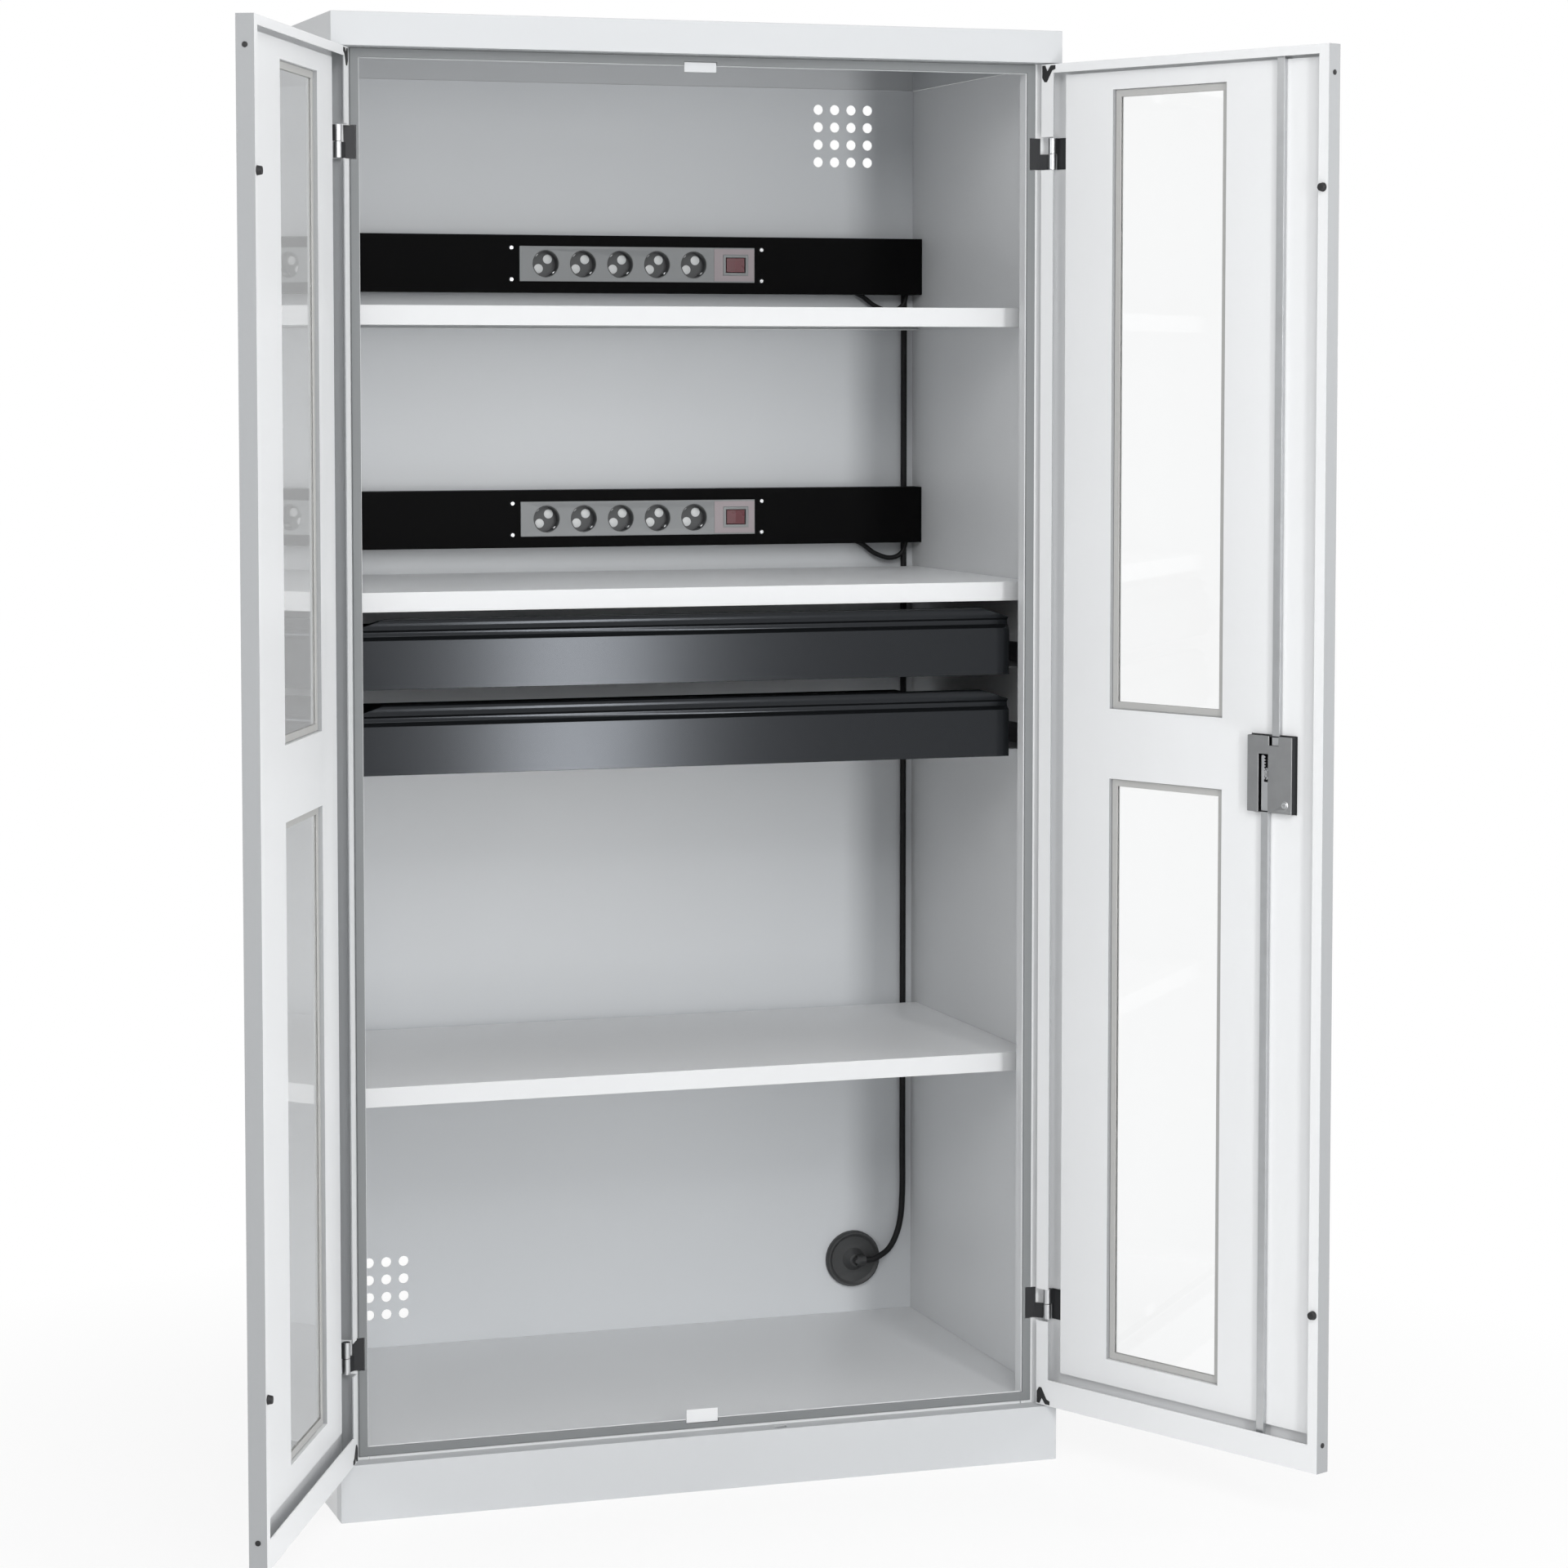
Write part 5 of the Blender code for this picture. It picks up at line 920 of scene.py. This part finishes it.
        # The shutters' white finish also paints the sockets' highlights.
        for name, shape, finish in (("socket_cups_", self.cup(), Finish.SOCKET_CUP),
                                    ("socket_shutters_", self.shutters(), Finish.SHUTTER),
                                    ("earth_clips_", self.clips(), Finish.ZINC)):
            mesh = row.mesh(name + self.tag, shape, self.shop.material(finish))
            self.shop.add(mesh, body, finish)
        self.shop.add(self.switch_plate(), body, Finish.SWITCH_PLATE)
        rail_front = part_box(rail)[0].y
        places = [(x, rail_front, self.middle_z + end * self.screw_spread)
                  for x in (low.x - self.screw_reach, high.x + self.screw_reach)
                  for end in (-1, 1)]
        screws = Screws().mesh("rail_screws_" + self.tag, places, FORWARD,
                               self.shop.material(Finish.ZINC))
        self.shop.add(screws, body, Finish.ZINC)


@dataclass
class Drawers(Assembly):
    """The two drawers on their telescopic runners."""

    fold: float = 0.0005

    def build(self) -> None:
        """Finish the drawers and their runners."""
        for level in Level:
            self.shop.refit(Finish.ANTHRACITE, self.fold, "drawer_front_" + level.value)
            self.shop.refit(Finish.ANTHRACITE, 0.0, "drawer_tray_" + level.value)
            self.shop.refit(Finish.ZINC, 0.0, *(
                f"runner_{member}_{level.value}_{side.tag}"
                for side in Side for member in ("cabinet", "middle")))


@dataclass
class Door(Assembly):
    """A door leaf with its windows, hinges and buffers."""

    side: Side
    fold: float = 0.0006
    thickness: float = 0.022
    lock_screw: Screws = Screws(radius=0.0056, height=0.0018, recess=0.0010)
    lock_screw_inset: float = 0.011
    lock_boss_height: float = 0.0015
    free_gap: float = 0.003
    knuckle_radius: float = 0.0051
    sleeve_wall: float = 0.0003
    sleeve_steps: int = 28
    knuckle_gap: float = 0.0004
    plug_radius: float = 0.0034
    plug_rise: float = 0.0012
    plug_inset: float = 0.036
    plug_crown: float = 0.6
    plug_steps: int = 20
    cap_rise: float = 0.0009
    cap_outline: tuple[Pair, ...] = (
        (0.0030, 0.002), (0.0080, 0.002), (0.0120, 0.010), (0.0185, 0.002), (0.0265, 0.002),
        (0.0265, 0.007), (0.0205, 0.009), (0.0110, 0.024), (0.0070, 0.024), (0.0030, 0.018))

    @property
    def hinge(self) -> dict:
        """The door's joint."""
        return JOINTS[f"door_{self.side.tag}_hinge"]

    @property
    def body(self) -> str:
        """The door's body."""
        return "door_" + self.side.tag

    @property
    def opened(self) -> Matrix:
        """Turns a point of the shut door to its place on the open one."""
        place = Vector(self.hinge["pos_m"])
        angle = self.side.value * math.radians(self.hinge["range_deg"][1])
        turn = Matrix.Rotation(angle, 4, "Z")
        return Matrix.Translation(place) @ turn @ Matrix.Translation(-place)

    def spot(self, from_side: float, depth: float, z: float) -> Vector:
        """A point of the shut door.

        Args:
            from_side: Distance from the cabinet's side.
            depth: Distance from the door's outer face.
            z: Height.

        Returns:
            The point.
        """
        return Vector((self.side.value * (HALF_WIDTH - from_side), FRONT_Y + depth, z))

    def shut_box(self, node: str) -> tuple[Vector, Vector]:
        """The two corners of a node of this door as it is when the door is shut.

        Args:
            node: The node's name.

        Returns:
            The low and the high corner.
        """
        back = self.opened.inverted()
        points = [back @ vertex.co for vertex in frame["nodes"][node].data.vertices]
        return (Vector([min(point[axis] for point in points) for axis in range(3)]),
                Vector([max(point[axis] for point in points) for axis in range(3)]))

    def add_lock_screw(self) -> None:
        """Put the bright screw on the lock's cover."""
        low, high = self.shut_box("lock_cover")
        place = self.opened @ Vector((low.x + self.lock_screw_inset,
                                      high.y - self.lock_boss_height,
                                      low.z + self.lock_screw_inset))
        mesh = self.lock_screw.mesh("lock_screw", [place],
                                    self.opened.to_3x3() @ Vector((0, 1, 0)),
                                    self.shop.material(Finish.ZINC))
        self.shop.add(mesh, self.body, Finish.ZINC)

    def corner_caps(self) -> bpy.types.Mesh:
        """The black caps in the two corners of the hinge side."""
        low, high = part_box("door_pan_" + self.side.tag)
        shapes = []
        for end_z, inward in ((high.z, -1), (low.z, 1)):
            shape = bmesh.new()
            ring = [shape.verts.new(self.spot(along, self.thickness, end_z + inward * down))
                    for along, down in self.cap_outline]
            face = shape.faces.new(ring)
            raised = bmesh.ops.extrude_face_region(shape, geom=[face])
            lifted = [item for item in raised["geom"] if isinstance(item, bmesh.types.BMVert)]
            bmesh.ops.translate(shape, vec=(0, self.cap_rise, 0), verts=lifted)
            bmesh.ops.transform(shape, matrix=self.opened, verts=shape.verts)
            shapes.append(shape)
        return solid(shapes, "corner_caps_" + self.side.tag)

    def edge_plugs(self) -> bpy.types.Mesh:
        """The black plugs in the free edge, near its two ends."""
        low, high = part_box("door_pan_" + self.side.tag)
        free = HALF_WIDTH - self.free_gap
        profile = dome(self.plug_radius, self.plug_rise, self.plug_crown)
        shapes = []
        for z in (high.z - self.plug_inset, low.z + self.plug_inset):
            place = self.spot(free, self.thickness / 2, z)
            matrix = self.opened @ facing(place, (-self.side.value, 0, 0))
            shapes.append(turned(profile, matrix, self.plug_steps))
        return solid(shapes, "edge_plugs_" + self.side.tag)

    def sleeve(self, low_z: float, high_z: float, name: str) -> bpy.types.Mesh:
        """A bright sleeve round a knuckle.

        Args:
            low_z: Its lower end.
            high_z: Its upper end.
            name: The mesh's name.

        Returns:
            The mesh.
        """
        x, y, _ = self.hinge["pos_m"]
        inner, outer = self.knuckle_radius, self.knuckle_radius + self.sleeve_wall
        profile = [(inner, low_z), (outer, low_z), (outer, high_z), (inner, high_z),
                   (inner, low_z)]
        axis = Matrix.Translation((x, y, 0))
        return solid([turned(profile, axis, self.sleeve_steps)], name)

    def build(self) -> None:
        """Finish the door."""
        self.shop.refit(Finish.DOOR, self.fold, "door_pan_" + self.side.tag)
        for mesh in (self.corner_caps(), self.edge_plugs()):
            self.shop.add(mesh, self.body, Finish.PLASTIC)
        if self.side is Side.RIGHT:
            self.add_lock_screw()
        for level in Level:
            tag = f"{level.value}_{self.side.tag}"
            low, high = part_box("hinge_door_leaf_" + tag)
            middle = (low.z + high.z) / 2
            for name, body, ends in (
                    ("frame_sleeve_", "cabinet", (low.z, middle - self.knuckle_gap)),
                    ("door_sleeve_", self.body, (middle + self.knuckle_gap, high.z))):
                self.shop.add(self.sleeve(*ends, name + tag), body, Finish.ZINC)
            self.shop.refit(Finish.WINDOW_SEAL, self.fold / 2, "window_seal_" + tag)
            self.shop.refit(Finish.PANE, 0.0, "window_pane_" + tag)
            self.shop.refit(Finish.DARK_STEEL, self.fold / 2, "hinge_frame_leaf_" + tag,
                            "hinge_door_leaf_" + tag)
            self.shop.refit(Finish.PLASTIC, self.fold / 2, "door_buffer_" + tag)


@dataclass
class Lock(Assembly):
    """The lock in the right door, its two rods and its outer handle."""

    fold: float = 0.0005
    handle_edge: float = 0.0015

    def build(self) -> None:
        """Finish the lock."""
        self.shop.refit(Finish.DARK_STEEL, self.fold, "lock_case")
        self.shop.refit(Finish.LOCK_STEEL, self.fold, "lock_cover")
        self.shop.refit(Finish.ZINC, self.fold / 2, "rod_upper", "rod_lower", "lock_pinion")
        self.shop.refit(Finish.PLASTIC, self.handle_edge, "door_handle")


def smooth_route(points: Sequence[Triple], step: float) -> list[Vector]:
    """Points a step apart on a smooth curve through a route's own points.

    Args:
        points: The route's points.
        step: The distance between the points of the curve, in metres.

    Returns:
        The curve's points.
    """
    route = [Vector(point) for point in points]
    padded = [2 * route[0] - route[1]] + route + [2 * route[-1] - route[-2]]
    fine = [route[0]]
    for before, start, end, after in zip(padded, padded[1:], padded[2:], padded[3:]):
        count = max(1, round((end - start).length / step))
        for index in range(1, count + 1):
            t = index / count
            fine.append(0.5 * ((2 * start) + (end - before) * t
                               + (2 * before - 5 * start + 4 * end - after) * t ** 2
                               + (3 * start - before - 3 * end + after) * t ** 3))
    return fine


@dataclass
class Cables(Assembly):
    """The leads of the two socket strips and the trunk cable down to the inlet."""

    trunk_diameter: float = 0.009
    lead_diameter: float = 0.007
    step: float = 0.004
    round_steps: int = 4
    rail_height: float = 0.082
    rail_sheet: float = 0.002
    gap: float = 0.0003
    strip_lap: float = 0.003
    lead_exit_x: float = 0.409
    lead_turn_x: float = 0.457
    lead_dip: float = 0.0235
    lead_sag: float = 0.0041
    lead_run_shares: Pair = (0.3, 0.75)
    lead_fall_share: float = 0.68
    lead_rise_share: float = 0.72
    trunk_x: float = 0.482
    wall_gap: float = 0.0012
    bend_z: float = 0.262
    straight_shares: tuple[float, ...] = (4, 1, 0)
    bend_shares: tuple[Triple, ...] = ((0.10, 0.30, 0.50), (0.36, 0.75, 0.17))
    bend_end_share: float = 0.02
    inlet_x: float = 0.404
    inlet_z: float = 0.166
    gland_reach: float = 0.014
    gland_standoff: float = 0.0185
    inlet_edge: float = 0.0004

    @property
    def wall_y(self) -> float:
        """The back wall's inner face."""
        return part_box("back_panel")[0].y

    @property
    def trunk_y(self) -> float:
        """The trunk cable's middle."""
        return self.wall_y - self.wall_gap - self.trunk_diameter / 2

    @property
    def lead_y(self) -> float:
        """The leads' middle, in front of the trunk cable."""
        return self.trunk_y - (self.trunk_diameter + self.lead_diameter) / 2 - self.gap

    def lead_route(self, level: Level) -> list[Triple]:
        """Out of a strip, through the rail's floor and up to the trunk.

        Args:
            level: Which strip.

        Returns:
            The route's points.
        """
        rail_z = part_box("power_rail_" + level.value)[0].z
        middle = rail_z + self.rail_height / 2
        start_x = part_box("socket_strip_" + level.value)[1].x - self.strip_lap + self.gap
        inside_z = rail_z + self.rail_sheet + self.lead_diameter
        run, turn_x, dip = self.lead_exit_x - start_x, self.lead_turn_x, self.lead_dip
        early, late = self.lead_run_shares
        rise = self.lead_rise_share
        y = self.lead_y
        return [
            (start_x, y, middle),
            (start_x + run * early, y, middle - self.lead_sag),
            (start_x + run * late, y, inside_z + self.lead_diameter),
            (self.lead_exit_x, y, rail_z),
            ((self.lead_exit_x + turn_x) / 2, y, rail_z - dip * self.lead_fall_share),
            (turn_x, y, rail_z - dip),
            (turn_x + (self.trunk_x - turn_x) * rise, y, rail_z - dip * rise),
            (self.trunk_x, y, rail_z),
            (self.trunk_x, y, rail_z + self.rail_height / 3),
        ]

    def trunk_route(self) -> list[Triple]:
        """Down the back wall, then round to the inlet's gland.

        Returns:
            The route's points.
        """
        gland_x = self.inlet_x + self.gland_reach + self.gap
        gland_y = self.wall_y - self.gap - self.gland_standoff
        top_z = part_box("power_rail_upper")[0].z + self.rail_height / 2
        x, y, z = self.trunk_x, self.trunk_y, self.inlet_z
        across, forward, drop = x - gland_x, gland_y - y, self.bend_z - z
        straight = [(x, y, self.bend_z + drop * share) for share in self.straight_shares]
        bend = [(x - across * side, y + forward * ahead, z + drop * up)
                for side, ahead, up in self.bend_shares]
        return [
            (x, y, top_z), *straight, *bend,
            (gland_x + self.trunk_diameter * 2, gland_y, z + drop * self.bend_end_share),
            (gland_x + self.trunk_diameter, gland_y, z),
            (gland_x, gland_y, z),
        ]

    def lay(self, node: str, route: Sequence[Triple], diameter: float) -> None:
        """Lay one cable along its route.

        Args:
            node: The frame's solid of the cable.
            route: The route's points.
            diameter: The cable's diameter.
        """
        fine = smooth_route(route, self.step)
        curve = bpy.data.curves.new(node + "_sheath", "CURVE")
        curve.dimensions = "3D"
        curve.bevel_depth = diameter / 2
        curve.bevel_resolution = self.round_steps
        curve.use_fill_caps = True
        spline = curve.splines.new("POLY")
        spline.points.add(len(fine) - 1)
        for point, place in zip(spline.points, fine):
            point.co = (*place, 1)
        spline.use_smooth = True
        cable = self.shop.add(curve, BODY_OF_NODE[node], Finish.CABLE, (node,))
        length = sum((after - before).length for before, after in zip(fine, fine[1:]))

    def build(self) -> None:
        """Lay all the cables and finish the inlet."""
        for level in Level:
            self.lay("strip_lead_" + level.value, self.lead_route(level), self.lead_diameter)
        self.lay("trunk_cable", self.trunk_route(), self.trunk_diameter)
        self.shop.refit(Finish.INLET, self.inlet_edge, "mains_inlet")


@dataclass(frozen=True)
class Lamp:
    """An area lamp, with its sizes in metres and its power in watts."""

    name: str
    place: Triple
    width: float
    height: float
    power: float

    def hang(self, aim: Sequence[float]) -> None:
        """Hang the lamp so that it looks at a point.

        Args:
            aim: The point.
        """
        data = bpy.data.lights.new(self.name, "AREA")
        data.shape = "RECTANGLE"
        data.size, data.size_y = self.width, self.height
        data.energy = self.power
        lamp = linked(self.name, data)
        lamp.location = self.place
        look = Vector(aim) - Vector(self.place)
        lamp.rotation_euler = look.to_track_quat("-Z", "Y").to_euler()


@dataclass
class Studio:
    """The pale floor, the background, the lamps and the camera."""

    floor_side: float = 30.0
    floor_colour: Triple = (0.93, 0.93, 0.93)
    floor_roughness: float = 0.9
    camera_place: Triple = (-1.584, -5.104, 1.494)
    camera_pitch: float = math.radians(3.84)
    camera_yaw: float = math.radians(18.36)
    lens: float = 93.0
    shift: float = -0.09
    fill_level: float = 0.45
    lamps: tuple[Lamp, ...] = (
        Lamp("key", (-0.8, -4.2, 3.3), 1.8, 1.8, 66.0),
        Lamp("left", (-4.5, -1.9, 2.2), 1.6, 2.0, 40.0),
        Lamp("right", (4.5, -1.9, 2.2), 1.6, 2.0, 40.0),
        Lamp("strip", (0.69, -3.04, 1.0), 0.30, 2.4, 40.0))
    aim: Triple = (0.0, 0.25, 1.0)
    white_from: float = 0.6
    white_to: float = 1.6
    floor_lift: float = 0.84

    def set_world(self) -> None:
        """White where the camera, gloss and glass look, and a plain fill light elsewhere."""
        world = bpy.data.worlds.new("studio")
        world.use_nodes = True
        bpy.context.scene.world = world
        board = Board(world.node_tree)
        background = world.node_tree.nodes["Background"]
        board.feed(background.inputs["Color"], (1.0, 1.0, 1.0, 1.0))
        level = self.fill_level + (1 - self.fill_level) * board.background_seen()
        board.feed(background.inputs["Strength"], level)

    def lay_floor(self) -> None:
        """A pale floor that keeps the cabinet's shadow."""
        tool = bmesh.new()
        bmesh.ops.create_grid(tool, x_segments=1, y_segments=1, size=self.floor_side / 2)
        mesh = bpy.data.meshes.new("floor")
        tool.to_mesh(mesh)
        tool.free()
        floor = linked("floor", mesh)
        floor.location = (0, 0, FRAME_BOX[0].z)
        board = Coating("floor")
        board.set(Base_Color=(*self.floor_colour, 1.0), Roughness=self.floor_roughness,
                  Specular_IOR_Level=0.0)
        far = board.node("ShaderNodeVectorMath", {"operation": "LENGTH"}, {0: board.place()})
        fade = board.node("ShaderNodeMapRange", {}, {
            "Value": far.outputs["Value"], "From Min": self.white_from,
            "From Max": self.white_to, "To Min": self.floor_lift, "To Max": 1.0})
        glow = board.node("ShaderNodeEmission", {}, {"Color": (1.0, 1.0, 1.0, 1.0)})
        share = board.background_seen() * Signal(board, fade.outputs["Result"])
        shown = board.node("ShaderNodeMixShader", {}, {
            0: share, 1: board.shader.outputs[0], 2: glow.outputs[0]})
        board.feed(board.tree.nodes["Material Output"].inputs["Surface"], shown.outputs[0])
        mesh.materials.append(board.material)

    def set_camera(self) -> None:
        """Stand the camera at the photograph's viewing angle."""
        data = bpy.data.cameras.new("camera")
        data.lens = self.lens
        data.shift_y = self.shift
        camera = linked("camera", data)
        camera.location = self.camera_place
        camera.rotation_euler = (math.pi / 2 - self.camera_pitch, 0, -self.camera_yaw)
        bpy.context.scene.camera = camera

    def build(self) -> None:
        """Set up the whole studio."""
        bpy.context.scene.view_settings.view_transform = "Standard"
        self.set_world()
        self.lay_floor()
        for lamp in self.lamps:
            lamp.hang(self.aim)
        self.set_camera()


def main() -> None:
    """Build the studio and every sub-assembly in order."""
    logging.basicConfig(level=logging.INFO)
    shop = Workshop()
    Studio().build()
    for assembly in (Cables(shop), Carcass(shop), Shelving(shop),
                     *(PowerRail(shop, level) for level in Level), Drawers(shop),
                     *(Door(shop, side) for side in Side), Lock(shop)):
        assembly.build()


if __name__ == "__main__":
    main()
